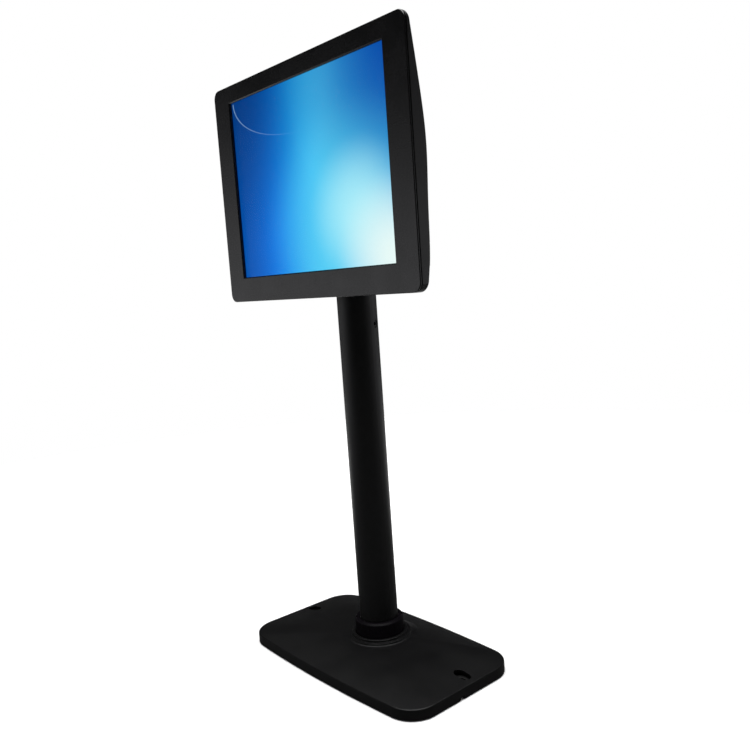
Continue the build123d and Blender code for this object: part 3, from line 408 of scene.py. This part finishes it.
BLACK = (0.0026, 0.0026, 0.0029)
PAINT_BLACK = (0.0024, 0.0024, 0.0027)
DRESS = {
    "front_bezel": dark_coat("bezel_satin", (0.0018, 0.0018, 0.002), 0.28, 0.35, 0.2, specular=0.5),
    "rear_cover": dark_coat("cover_sparked", BLACK, 0.4, 0.6, 0.35, specular=0.45),
    "foot_cover": dark_coat("foot_sparked", (0.0012, 0.0012, 0.0014), 0.46, 0.5, 0.3, specular=0.22),
    "pole_tube": dark_coat("pole_powder", (0.0016, 0.0016, 0.0018), 0.42, 0.9, 0.25, specular=0.33, peel=0.8),
    "neck_stem": dark_coat("neck_powder", PAINT_BLACK, 0.4, 0.8, 0.3, specular=0.35, peel=0.8),
    "tilt_bracket": dark_coat("bracket_powder", PAINT_BLACK, 0.42, 0.9, 0.35, specular=0.35, peel=0.8),
    "locking_collar": dark_coat(
        "collar_paint", (0.0026, 0.002, 0.003), 0.5, 0.5, 0.25, specular=0.06, wear_and_highlight_tint=1.5
    ),
    "foot_plate": dark_coat("plate_powder", (0.003, 0.003, 0.0032), 0.6, 1.2, 0.5, specular=0.3, peel=0.9),
    "pole_socket": dark_coat("socket_powder", (0.014, 0.014, 0.015), 0.5, 1.0, 0.4, specular=0.3, peel=0.8),
    "foot_pads": dark_coat("pad_rubber", (0.012, 0.0115, 0.011), 0.8, 0.4, 0.5, specular=0.25, wear_and_highlight_tint=1.3),
    "upper_bush": dark_coat("upper_bush_acetal", (0.01, 0.01, 0.0105), 0.4, 0.3, 0.15, specular=0.35),
    "power_button": dark_coat(
        "button_satin", (0.02, 0.02, 0.021), 0.35, 0.3, 0.2, specular=0.4, wear_and_highlight_tint=1.9
    ),
    "glass_gasket": dark_coat(
        "gasket_foam", (0.008, 0.008, 0.008), 0.9, 0.25, 0.7, specular=0.2, wear_and_highlight_tint=1.1
    ),
    "speaker": dark_coat("speaker_frame", (0.012, 0.012, 0.012), 0.6, 0.4, 0.3),
    "power_switch": dark_coat("switch_body", (0.014, 0.014, 0.014), 0.5, 0.3, 0.2),
    "dc_inlet": dark_coat("inlet_body", (0.01, 0.01, 0.01), 0.45, 0.3, 0.2, specular=0.35),
}
print("dark coats:", len(DRESS))

# %% [markdown]
# ## Pale plastics
#
# The swivel's lower bush and the cone ring are natural acetal, and the friction washers are
# a tan bearing plastic. They sit inside the stand and show only where a joint opens, but they
# are real pieces, so they get their own finish: a fine grain, softly rounded edges, and a
# skin that lets a little light through.

# %% Material: acetal
def acetal(name, colour):
    """Turned natural plastic."""
    material, tree, shader = principled(name)
    grain = use_group(tree, grain_group, Grain_size_mm=0.25, Flow_size_mm=2.0, Flow_amount=0.4)
    edges = use_group(tree, edge_group, Radius=0.0004, Break_up=0.3)
    darker = tuple(channel * 0.82 for channel in colour)
    toned = tree.mix(grain.outputs["Speckle"], (*darker, 1.0), (*colour, 1.0))
    tree.feed(shader.inputs["Base Color"], toned)
    rough = tree.math("ADD", 0.34, tree.math("MULTIPLY", grain.outputs["Speckle"], 0.15))
    tree.feed(shader.inputs["Roughness"], rough)
    bump = tree.add(
        "ShaderNodeBump", Strength=0.2, Distance=0.05 * MM, Height=grain.outputs["Height"],
        Normal=edges.outputs["Rounded"],
    )
    tree.feed(shader.inputs["Normal"], bump.outputs["Normal"])
    shader.inputs["Subsurface Weight"].default_value = 0.15
    shader.inputs["Subsurface Radius"].default_value = (0.004, 0.003, 0.002)
    return material


DRESS["pole_ferrule"] = acetal("ferrule_acetal", (0.72, 0.7, 0.64))
DRESS["lower_bush"] = acetal("lower_bush_acetal", (0.72, 0.7, 0.64))
DRESS["friction_washers"] = acetal("washer_plastic", (0.3, 0.24, 0.16))
print("pale plastics: 3")

# %% [markdown]
# ## Metals
#
# Fasteners are turned or pressed steel. Machining leaves fine lines, zinc plating adds a
# cloudy bloom, and black oxide is thin enough for the steel to grin through on the edges.
# A noise squeezed along one direction gives the lines; the worn-edge mask bares the metal.

# %% Material: metal
def metal(name, colour, roughness, brushed=(1.0, 1.0, 14.0), bloom=0.12, bare=None):
    """Machined, plated or blackened metal."""
    material, tree, shader = principled(name)
    place = tree.add("ShaderNodeTexCoord").outputs["Object"]
    squeezed = tree.add("ShaderNodeMapping", Vector=place)
    squeezed.inputs["Scale"].default_value = brushed
    lines = tree.add(
        "ShaderNodeTexNoise", Vector=squeezed.outputs["Vector"], Scale=420.0, Detail=4.0, Roughness=0.7
    )
    clouds = tree.add("ShaderNodeTexNoise", Vector=place, Scale=110.0, Detail=3.0, Roughness=0.6)
    edges = use_group(tree, edge_group, Radius=0.0003, Break_up=0.5)

    dull = tuple(channel * (1 - bloom * 2) for channel in colour)
    base = tree.mix(clouds.outputs["Fac"], (*dull, 1.0), (*colour, 1.0))
    shown = tree.mix(edges.outputs["Edge"], base, (*(bare or colour), 1.0))
    tree.feed(shader.inputs["Base Color"], shown)
    line_part = tree.math("MULTIPLY", lines.outputs["Fac"], 0.16)
    cloud_part = tree.math("MULTIPLY", clouds.outputs["Fac"], bloom)
    rough = tree.math("ADD", roughness - 0.12, tree.math("ADD", line_part, cloud_part))
    tree.feed(shader.inputs["Roughness"], rough)
    bump = tree.add(
        "ShaderNodeBump", Strength=0.25, Distance=0.03 * MM, Height=lines.outputs["Fac"],
        Normal=edges.outputs["Rounded"],
    )
    tree.feed(shader.inputs["Normal"], bump.outputs["Normal"])
    shader.inputs["Metallic"].default_value = 1.0
    return material


ZINC = (0.6, 0.6, 0.61)
BARE_STEEL = (0.45, 0.44, 0.43)
OXIDE = (0.035, 0.035, 0.038)
OXIDE_WORN = (0.16, 0.155, 0.15)
BRASS = (0.68, 0.48, 0.2)
dressed_before_metals = len(DRESS)
for node in ("foot_screws", "socket_screws", "chassis_screws", "board_screws"):
    DRESS[node] = metal(node + "_zinc", ZINC, 0.35)
for node in ("tilt_bolt", "tilt_nut", "bracket_screws", "cover_screws", "stem_set_screw"):
    DRESS[node] = metal(node + "_oxide", OXIDE, 0.4, bare=OXIDE_WORN)
DRESS["spring_washer"] = metal("spring_steel", (0.3, 0.3, 0.31), 0.3)
DRESS["button_spring"] = metal("spring_wire", ZINC, 0.28)
DRESS["chassis"] = metal("zinc_sheet", ZINC, 0.42, brushed=(10.0, 1.0, 1.0), bloom=0.2, bare=BARE_STEEL)
DRESS["vesa_standoffs"] = metal("standoff_brass", BRASS, 0.3)
DRESS["board_standoffs"] = metal("spacer_brass", BRASS, 0.32)
DRESS["heat_spreader"] = metal("sink_aluminium", (0.75, 0.75, 0.77), 0.38, brushed=(1.0, 1.0, 10.0))
for node in ("usb_ports", "video_port"):
    DRESS[node] = metal(node + "_shell", (0.62, 0.61, 0.6), 0.26, brushed=(12.0, 1.0, 1.0))
print("metals:", len(DRESS) - dressed_before_metals)

# %% [markdown]
# ## Circuit boards and the film ribbon
#
# A board is coloured lacquer over copper: the tracks show as a slightly lighter, raised pattern
# of straight runs, and the packages on it are black, or pale on the radio module. The board's
# node is one solid, so the material tells lacquer from chips by height: whatever stands clear
# of the board's face is a package. The tracks are a brick pattern, which gives runs with gaps.

# %% Material: board
def board(name, lacquer, face_y, package=(0.012, 0.012, 0.013)):
    """Lacquered circuit board with dark packages above the given face."""
    material, tree, shader = principled(name)
    place = tree.add("ShaderNodeTexCoord").outputs["Object"]
    parts = tree.add("ShaderNodeSeparateXYZ", Vector=place)
    flat = tree.add("ShaderNodeCombineXYZ", X=parts.outputs["X"], Y=parts.outputs["Z"])
    tracks = tree.add("ShaderNodeTexBrick", Vector=flat.outputs["Vector"], Scale=260.0)
    tracks.inputs["Color1"].default_value = grey(0.0)
    tracks.inputs["Color2"].default_value = grey(0.35)
    tracks.inputs["Mortar"].default_value = grey(1.0)
    tracks.inputs["Mortar Size"].default_value = 0.03
    lighter = tuple(min(1.0, channel * 1.9 + 0.01) for channel in lacquer)
    copper = tree.mix(tracks.outputs["Color"], (*lacquer, 1.0), (*lighter, 1.0))
    raised = tree.math("GREATER_THAN", parts.outputs["Y"], face_y)
    tree.feed(shader.inputs["Base Color"], tree.mix(raised, copper, (*package, 1.0)))
    tree.feed(shader.inputs["Roughness"], tree.math("ADD", 0.28, tree.math("MULTIPLY", raised, 0.25)))
    bump = tree.add("ShaderNodeBump", Strength=0.3, Distance=0.04 * MM, Height=tracks.outputs["Color"])
    tree.feed(shader.inputs["Normal"], bump.outputs["Normal"])
    return material


BOARD_SKIN = 1.65 * MM
TOUCH_SKIN = 1.25 * MM
RADIO_SKIN = 1.05 * MM
GREEN_LACQUER = (0.012, 0.09, 0.035)
board_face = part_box("mainboard")[0].y + BOARD_SKIN
touch_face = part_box("touch_board")[0].y + TOUCH_SKIN
radio_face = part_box("wifi_module")[0].y + RADIO_SKIN
DRESS["mainboard"] = board("mainboard_lacquer", GREEN_LACQUER, board_face)
DRESS["touch_board"] = board("touch_board_lacquer", GREEN_LACQUER, touch_face)
DRESS["wifi_module"] = board("radio_lacquer", (0.01, 0.03, 0.09), radio_face, package=(0.5, 0.5, 0.49))


def film(name, colour):
    """Amber film with fine copper lines running along it."""
    material, tree, shader = principled(name)
    place = tree.add("ShaderNodeTexCoord").outputs["Object"]
    lines = tree.add("ShaderNodeTexWave", p_bands_direction="X", Vector=place, Scale=300.0, Distortion=0.0)
    shown = tree.mix(lines.outputs["Fac"], (*colour, 1.0), (0.55, 0.25, 0.08, 1.0))
    tree.feed(shader.inputs["Base Color"], shown)
    line_part = tree.math("MULTIPLY", lines.outputs["Fac"], 0.1)
    tree.feed(shader.inputs["Roughness"], tree.math("ADD", 0.3, line_part))
    return material


DRESS["display_ribbon"] = film("ribbon_film", (0.3, 0.16, 0.03))
print("boards and ribbon: 4")

# %% [markdown]
# ## The picture on the panel
#
# A terminal that is switched on shows its start screen. This one is a plain abstract blue:
# deep blue at the left and in the upper corners, cyan through the middle, a pale glow at the
# lower right, and one thin arc of light at the upper left. It is drawn from the place on the
# panel, from 0 to 1 across and up. Soft round glows are worked out from the distance to a
# centre, and each one is mixed over what is already there.
# Only the panel's front is lit, inside the window. The rest of the front is black, and what
# lies deeper than the front skin is the silver metal case.

# %% Material: lit panel
WINDOW_WIDTH = 0.246
WINDOW_HEIGHT = 0.1845


def soft_spot(tree, across, up, centre, size, power=2.0):
    """1 at the centre, falling smoothly to 0 at the given size (across, up)."""
    dx = tree.math("DIVIDE", tree.math("SUBTRACT", across, centre[0]), size[0])
    dy = tree.math("DIVIDE", tree.math("SUBTRACT", up, centre[1]), size[1])
    reach = tree.math("ADD", tree.math("MULTIPLY", dx, dx), tree.math("MULTIPLY", dy, dy))
    near = tree.math("SUBTRACT", 1.0, reach, clamp=True)
    return tree.math("POWER", near, power)


GLOWS = (
    ((0.74, 0.2), (0.58, 0.7), 0.55, (0.13, 0.72, 0.94)),
    ((0.8, 0.27), (0.32, 0.4), 0.75, (0.5, 0.92, 0.97)),
    ((0.99, 0.03), (0.36, 0.44), 0.95, (0.85, 0.98, 0.93)),
)


def picture_colour(tree, across, up):
    """The start screen: a sweep of blues with darker upper corners, glows and an arc."""
    sweep = tree.ramp(
        across,
        [
            (0.0, (0.001, 0.075, 0.38)),
            (0.15, (0.002, 0.13, 0.6)),
            (0.28, (0.0035, 0.21, 0.8)),
            (0.4, (0.01, 0.34, 0.86)),
            (0.52, (0.045, 0.5, 0.89)),
            (0.64, (0.075, 0.56, 0.88)),
            (0.78, (0.05, 0.5, 0.86)),
            (1.0, (0.025, 0.38, 0.8)),
        ],
        "B_SPLINE",
    )
    shade_left = soft_spot(tree, across, up, (0.02, 1.2), (0.68, 1.1), 1.6)
    shaded = tree.mix(tree.math("MULTIPLY", shade_left, 0.9), sweep, (0.001, 0.035, 0.18, 1.0))
    shade_right = soft_spot(tree, across, up, (1.12, 1.12), (0.72, 1.05), 1.3)
    shaded = tree.mix(shade_right, shaded, (0.0015, 0.055, 0.37, 1.0))
    lit = shaded
    for centre, size, strength, colour in GLOWS:
        glow = soft_spot(tree, across, up, centre, size)
        lit = tree.mix(tree.math("MULTIPLY", glow, strength), lit, (*colour, 1.0))
    return light_arc(tree, across, up, lit)


ARC_CENTRE = (0.5, 1.0)
ARC_RADII = (0.5, 0.265)
ARC_WIDTH = 0.007
ARC_STRENGTH = 0.6
ARC_COLOUR = (0.5, 0.8, 1.0, 1.0)


def light_arc(tree, across, up, below):
    """One thin arc of light that fades towards its right end."""
    dx = tree.math("DIVIDE", tree.math("SUBTRACT", across, ARC_CENTRE[0]), ARC_RADII[0])
    dy = tree.math("DIVIDE", tree.math("SUBTRACT", up, ARC_CENTRE[1]), ARC_RADII[1])
    ring = tree.math("SQRT", tree.math("ADD", tree.math("MULTIPLY", dx, dx), tree.math("MULTIPLY", dy, dy)))
    off = tree.math("ABSOLUTE", tree.math("SUBTRACT", ring, 1.0))
    line = tree.math("SUBTRACT", 1.0, tree.math("DIVIDE", off, ARC_WIDTH), clamp=True)
    fade = tree.math("SUBTRACT", 1.0, tree.math("MULTIPLY", across, 2.0), clamp=True)
    lower = tree.math("LESS_THAN", up, 1.0)
    share = tree.math("MULTIPLY", tree.math("MULTIPLY", line, fade), lower)
    return tree.mix(tree.math("MULTIPLY", share, ARC_STRENGTH), below, ARC_COLOUR)


FRONT_SKIN = 0.2 * MM
LIT_HALF = 0.512


def lit_panel(name):
    """The liquid crystal panel: lit picture in front, black frame, silver case behind."""
    material, tree, shader = principled(name)
    low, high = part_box("lcd_panel")
    middle = (low + high) / 2
    place = tree.add("ShaderNodeTexCoord").outputs["Object"]
    parts = tree.add("ShaderNodeSeparateXYZ", Vector=place)
    from_left = tree.math("SUBTRACT", parts.outputs["X"], middle.x - WINDOW_WIDTH / 2)
    from_below = tree.math("SUBTRACT", parts.outputs["Z"], middle.z - WINDOW_HEIGHT / 2)
    across = tree.math("DIVIDE", from_left, WINDOW_WIDTH)
    up = tree.math("DIVIDE", from_below, WINDOW_HEIGHT)

    front = tree.math("LESS_THAN", parts.outputs["Y"], low.y + FRONT_SKIN)
    side_off = tree.math("ABSOLUTE", tree.math("SUBTRACT", across, 0.5))
    height_off = tree.math("ABSOLUTE", tree.math("SUBTRACT", up, 0.5))
    in_width = tree.math("LESS_THAN", side_off, LIT_HALF)
    in_height = tree.math("LESS_THAN", height_off, LIT_HALF)
    inside = tree.math("MULTIPLY", in_width, in_height)
    lit = tree.math("MULTIPLY", front, inside)

    dots = tree.add("ShaderNodeTexNoise", Vector=place, Scale=1800.0, Detail=1.0)
    picture = picture_colour(tree, across, up)
    dotted = tree.add(
        "ShaderNodeMapRange", Value=dots.outputs["Fac"], From_Min=0.3, From_Max=0.7, To_Min=0.97, To_Max=1.03
    )
    fine = tree.add("ShaderNodeVectorMath", p_operation="SCALE", i0=picture, Scale=dotted.outputs["Result"])
    shown = tree.mix(lit, grey(0.0), fine.outputs["Vector"])
    tree.feed(shader.inputs["Emission Color"], shown)
    shader.inputs["Emission Strength"].default_value = 1.0
    shader.inputs["Specular IOR Level"].default_value = 0.03

    case = tree.ramp(front, [(0.0, (0.35, 0.35, 0.36)), (1.0, (0.004, 0.004, 0.005))], "CONSTANT")
    tree.feed(shader.inputs["Base Color"], case)
    uneven = tree.math("MULTIPLY", dots.outputs["Fac"], 0.1)
    tree.feed(shader.inputs["Roughness"], tree.math("ADD", 0.3, uneven))
    return material


DRESS["lcd_panel"] = lit_panel("panel_lit")
print("panel picture", WINDOW_WIDTH, "x", WINDOW_HEIGHT, "m")

# %% [markdown]
# ## Touch glass
#
# The touch glass is hardened and has a very slight anti-glare etch. It lets the picture
# through and adds a faint sheen with finger marks. Glass that bends light strongly is noisy in
# front of a lit picture and darkens it, so the body of this glass hardly bends light at all.
# The sheen comes from a thin clear coat, which grows stronger towards grazing angles.

# %% Material: touch glass
def touch_glass(name):
    """Clear glass with finger marks in its sheen."""
    material, tree, shader = principled(name)
    marks = use_group(tree, marks_group, Cloud_size_mm=22.0, Streak_size_mm=5.0)
    shader.inputs["Base Color"].default_value = (1.0, 1.0, 1.0, 1.0)
    shader.inputs["Transmission Weight"].default_value = 1.0
    shader.inputs["IOR"].default_value = 1.02
    shader.inputs["Coat Weight"].default_value = 0.04
    shader.inputs["Coat Roughness"].default_value = 0.15
    smeared = tree.math("MULTIPLY", marks.outputs["Clouds"], 0.05)
    wiped = tree.math("MULTIPLY", marks.outputs["Streaks"], 0.03)
    tree.feed(shader.inputs["Roughness"], tree.math("ADD", 0.02, tree.math("ADD", smeared, wiped)))
    return material


DRESS["touch_glass"] = touch_glass("glass_etched")
print("glass ready")

# %% [markdown]
# ## Dressing the parts
#
# Each part comes in with one material slot. Its finish is put in that slot, and the part
# itself isn't touched. A part with no finish in the list, or no slot to put one in, would be
# left plain, and that list should come out empty.

# %% Dress the parts
undressed = sorted(n for n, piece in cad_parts.items() if n not in DRESS or not piece.material_slots)
for node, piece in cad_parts.items():
    for slot in piece.material_slots:
        slot.material = DRESS[node]
print("dressed:", len(DRESS), "left plain:", undressed)

# %% [markdown]
# ## Return spring
#
# The button's return spring gets shorter as the button is pressed, and a solid part can't do
# that. A copy of the spring's own mesh, riding on the head, stands in its place.

# %% Return spring
spring = bpy.data.objects.new("return_spring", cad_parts["button_spring"].data.copy())
bpy.context.scene.collection.objects.link(spring)
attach(spring, "head")
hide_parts("button_spring")
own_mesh(spring)

# %% [markdown]
# ## Contacts inside the sockets
#
# Look into a socket and you see its contacts: flat gold springs on the tongue. They are too
# small to matter to the part's strength, so they are made here. Each one is a thin strip whose
# far end stands a little off the tongue. It is built as a row of closed loops joined by faces,
# and all the strips of one socket are one piece.

# %% Contacts
GOLD = metal("contact_gold", (0.8, 0.55, 0.22), 0.25, brushed=(1.0, 1.0, 6.0), bloom=0.05)


STRIP_THICKNESS = 0.12 * MM
STRIP_COURSE = ((0.0, 0.0), (0.0, 0.75), (0.25, 0.9), (-1.0, 1.0))


def join_loops(shape, loops):
    """Joins a row of closed loops of points into a solid with both ends capped."""
    sides = len(loops[0])
    for lower, upper in zip(loops, loops[1:]):
        for side in range(sides):
            other = (side + 1) % sides
            shape.faces.new((lower[side], lower[other], upper[other], upper[side]))
    shape.faces.new(list(reversed(loops[0])))
    shape.faces.new(loops[-1])


def head_piece(name, shape, material):
    """Turns a built shape into a piece that rides on the head."""
    bmesh.ops.recalc_face_normals(shape, faces=shape.faces)
    mesh = bpy.data.meshes.new(name)
    shape.to_mesh(mesh)
    shape.free()
    mesh.materials.append(material)
    piece = bpy.data.objects.new(name, mesh)
    bpy.context.scene.collection.objects.link(piece)
    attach(piece, "head")
    return piece


def contact_strips(name, centre_x, count, pitch, width, y_top, z_mouth, length):
    """Thin bent strips, side by side along X, lying on a tongue and pointing down to its mouth."""
    shape = bmesh.new()
    for index in range(count):
        left = centre_x + (index - (count - 1) / 2) * pitch - width / 2
        section = [(left, 0), (left + width, 0), (left + width, STRIP_THICKNESS), (left, STRIP_THICKNESS)]
        loops = []
        for lift, share in STRIP_COURSE:
            y = y_top + lift * STRIP_THICKNESS
            z = z_mouth + share * length
            loops.append([shape.verts.new((x, y - deep, z)) for x, deep in section])
        join_loops(shape, loops)
    return head_piece(name, shape, GOLD)


usb_low, usb_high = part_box("usb_ports")
USB_WIDTH = 14 * MM
usb_depth = usb_high.y - usb_low.y
USB_TONGUE_OFF_CENTRE = 0.7 * MM
USB_TONGUE_HALF = 0.9 * MM
VIDEO_TONGUE_HALF = 0.7 * MM
CONTACT_START = 0.8 * MM
tongue_face = usb_low.y + usb_depth / 2 + USB_TONGUE_OFF_CENTRE - USB_TONGUE_HALF
for number, centre_x in enumerate((usb_low.x + USB_WIDTH / 2, usb_high.x - USB_WIDTH / 2)):
    contact_strips(
        f"usb_contacts_{number + 1}", centre_x, count=4, pitch=2.3 * MM, width=1.1 * MM,
        y_top=tongue_face, z_mouth=usb_low.z + CONTACT_START, length=7 * MM,
    )
video_low, video_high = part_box("video_port")
video_face = (video_low.y + video_high.y) / 2 - VIDEO_TONGUE_HALF
contact_strips(
    "video_contacts", (video_low.x + video_high.x) / 2, count=9, pitch=1.1 * MM,
    width=0.5 * MM, y_top=video_face, z_mouth=video_low.z + CONTACT_START, length=6 * MM,
)
print("contacts: 2 sockets of 4, 1 of 9")

# %% [markdown]
# ## Cap of the inlet's pin
#
# The power inlet is a black body round a bright centre pin. The pin is part of the moulded
# solid, so a thin plated cap is put over it, and hides its end and nearly all of its side.
# It is a turned shape with a bevelled tip: a short outline of radius and height, carried
# round in even steps. The cap reaches a hair past the end of the pin, so no black end shows.

# %% Cap of the inlet's pin
CONTACT_PLATE = metal("pin_nickel", (0.7, 0.69, 0.66), 0.22)
PIN_CAP_RADIUS = 1.12 * MM
PIN_SIDES = 24
PIN_OUTLINE = ((0.8, -0.2), (1.0, -0.05), (1.0, 0.7), (1.0, 9.4))


def pin_cap(name, centre, z_mouth):
    """A plated cap with a bevelled lower tip, pointing down at the mouth of the inlet."""
    shape = bmesh.new()
    angles = [radians(360 * step / PIN_SIDES) for step in range(PIN_SIDES)]
    loops = []
    for share, height_mm in PIN_OUTLINE:
        radius = PIN_CAP_RADIUS * share
        z = z_mouth + height_mm * MM
        loops.append(
            [shape.verts.new((centre.x + radius * cos(a), centre.y + radius * sin(a), z)) for a in angles]
        )
    join_loops(shape, loops)
    return head_piece(name, shape, CONTACT_PLATE)


inlet_low, inlet_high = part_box("dc_inlet")
pin_cap("inlet_pin", (inlet_low + inlet_high) / 2, inlet_low.z)
print("inlet pin cap radius", PIN_CAP_RADIUS)

# %% [markdown]
# ## Floor, light and surroundings
#
# The floor is a plain pale sheet. It glows a little away from the foot, so that it comes out
# white there, and hardly at all under and near the foot, which paints a soft shadow round it.
# A black satin object is drawn by what it reflects, so the surroundings matter more than the
# lamp. A band along the horizon is bright and falls off upwards, which leaves the top of the
# screen's frame nearly black and its bottom grey. One side of the room is dark, so the pole has
# a dark middle and two light edges. That side is the one the camera stands on. Its direction is
# worked out once from the camera's heading and stays fixed in the room, so it doesn't turn with
# another camera.
# The camera itself sees plain white behind the object, and the floor is darker to mirrored
# rays than to the eye: the Light Path node tells these rays apart. To mirrored rays it also has
# painted shade: dark near the foot and on the camera's side, pale only farther off on the other side.

# %% Floor and surroundings
FLOOR_RADIUS = 1.5
FLOOR_SIDES = 96
FLOOR_DROP = 0.05 * MM
FLOOR_GLOW = 0.25
GLOW_BEGINS = 0.12
GLOW_IS_FULL = 0.4
CAMERA_SIDE = Vector((cos(CAMERA_HEADING - radians(90)), sin(CAMERA_HEADING - radians(90)), 0.0))


def pale_floor():
    """A round pale sheet at the level of the pads."""
    mesh = bpy.data.meshes.new("floor")
    shape = bmesh.new()
    bmesh.ops.create_circle(shape, cap_ends=True, segments=FLOOR_SIDES, radius=FLOOR_RADIUS)
    shape.to_mesh(mesh)
    shape.free()
    floor = bpy.data.objects.new("floor", mesh)
    bpy.context.scene.collection.objects.link(floor)
    floor.location.z = cad_box[0][2] - FLOOR_DROP
    material, tree, paper = principled("floor_paper")
    fibres = tree.add("ShaderNodeTexNoise", Scale=30.0, Detail=3.0)
    tree.feed(paper.inputs["Base Color"], tree.mix(fibres.outputs["Fac"], grey(0.9), grey(0.92)))
    paper.inputs["Roughness"].default_value = 1.0
    paper.inputs["Specular IOR Level"].default_value = 0.0
    place = tree.add("ShaderNodeTexCoord").outputs["Object"]
    distance = tree.add("ShaderNodeVectorMath", p_operation="LENGTH", i0=place)
    # Painted shadow: no glow within GLOW_BEGINS of the middle, full glow from GLOW_IS_FULL, so the floor
    # round the foot is painted darker.
    glow_outside_painted_shadow = tree.add(
        "ShaderNodeMapRange", p_clamp=True, Value=distance.outputs["Value"],
        From_Min=GLOW_BEGINS, From_Max=GLOW_IS_FULL,
    )
    tree.feed(paper.inputs["Emission Color"], glow_outside_painted_shadow.outputs["Result"])
    paper.inputs["Emission Strength"].default_value = FLOOR_GLOW
    # Painted shade for mirrored rays: the floor's reflected colour is dark near the foot and on the camera's
    # side.
    towards = tree.add("ShaderNodeVectorMath", p_operation="DOT_PRODUCT", i0=place, i1=CAMERA_SIDE)
    shade = tree.add(
        "ShaderNodeMapRange", p_clamp=True, Value=towards.outputs["Value"], From_Min=-0.6, From_Max=-0.2,
        To_Min=0.7, To_Max=0.08,
    )
    matt = tree.add("ShaderNodeBsdfDiffuse", Color=shade.outputs["Result"])
    mirrored = tree.add("ShaderNodeLightPath").outputs["Is Glossy Ray"]
    either = tree.add("ShaderNodeMixShader", Fac=mirrored, i1=paper.outputs["BSDF"], i2=matt.outputs["BSDF"])
    tree.feed(material.node_tree.nodes["Material Output"].inputs["Surface"], either.outputs["Shader"])
    mesh.materials.append(material)
    return floor


def surroundings():
    """A bright band along the horizon, dark above and on one side; plain white to the camera itself."""
    world = bpy.data.worlds.new("surroundings")
    bpy.context.scene.world = world
    world.use_nodes = True
    world.node_tree.nodes.clear()
    tree = Tree(world.node_tree)
    direction = tree.add("ShaderNodeTexCoord").outputs["Generated"]
    height = tree.add("ShaderNodeSeparateXYZ", Vector=direction).outputs["Z"]
    band = tree.ramp(
        height,
        [
            (0.0, (1.0, 1.0, 1.03)),
            (0.09, (0.62, 0.62, 0.64)),
            (0.17, (0.3, 0.3, 0.31)),
            (0.22, (0.08, 0.08, 0.085)),
            (0.27, (0.01, 0.01, 0.01)),
            (1.0, (0.01, 0.01, 0.01)),
        ],
    )
    towards = tree.add("ShaderNodeVectorMath", p_operation="DOT_PRODUCT", i0=direction, i1=CAMERA_SIDE)
    share = tree.add("ShaderNodeMapRange", p_clamp=True, Value=towards.outputs["Value"], From_Min=-1.0)
    around = tree.ramp(
        share.outputs["Result"],
        [
            (0.0, (0.08, 0.08, 0.08)),
            (0.07, (0.12, 0.12, 0.12)),
            (0.25, (0.42, 0.42, 0.42)),
            (0.35, (0.68, 0.68, 0.68)),
            (0.45, (1.0, 1.0, 1.0)),
            (0.58, (0.7, 0.7, 0.7)),
            (0.72, (0.35, 0.35, 0.35)),
            (0.87, (0.01, 0.01, 0.01)),
        ],
    )
    shaded = tree.mix(1.0, band, around, "MULTIPLY")
    seen = tree.add("ShaderNodeLightPath").outputs["Is Camera Ray"]
    shown = tree.mix(seen, shaded, (1.0, 1.0, 1.0, 1.0))
    background = tree.add("ShaderNodeBackground", Color=shown, Strength=1.0)
    tree.add("ShaderNodeOutputWorld", Surface=background.outputs["Background"])


pale_floor()
surroundings()
print("floor at", round(cad_box[0][2], 4), "m")

# %% [markdown]
# ## Lamps
#
# One large soft lamp overhead lights the floor and the foot. It is the only lamp. The soft
# bright edges down the sides of the dark pole, which show that it is round, are reflections
# of the pale band that the surroundings have along their horizon.

# %% Lamps
def soft_lamp(name, place, target, size, power):
    """A rectangular soft lamp that looks at the target."""
    light = bpy.data.lights.new(name, "AREA")
    light.shape = "RECTANGLE"
    light.size, light.size_y = size
    light.energy = power
    lamp = bpy.data.objects.new(name, light)
    bpy.context.scene.collection.objects.link(lamp)
    lamp.location = place
    lamp.rotation_euler = (Vector(target) - Vector(place)).to_track_quat("-Z", "Y").to_euler()
    return lamp


soft_lamp("overhead", (0.2, -0.2, 3.0), (0.0, 0.0, 0.0), (3.0, 3.0), 190.0)
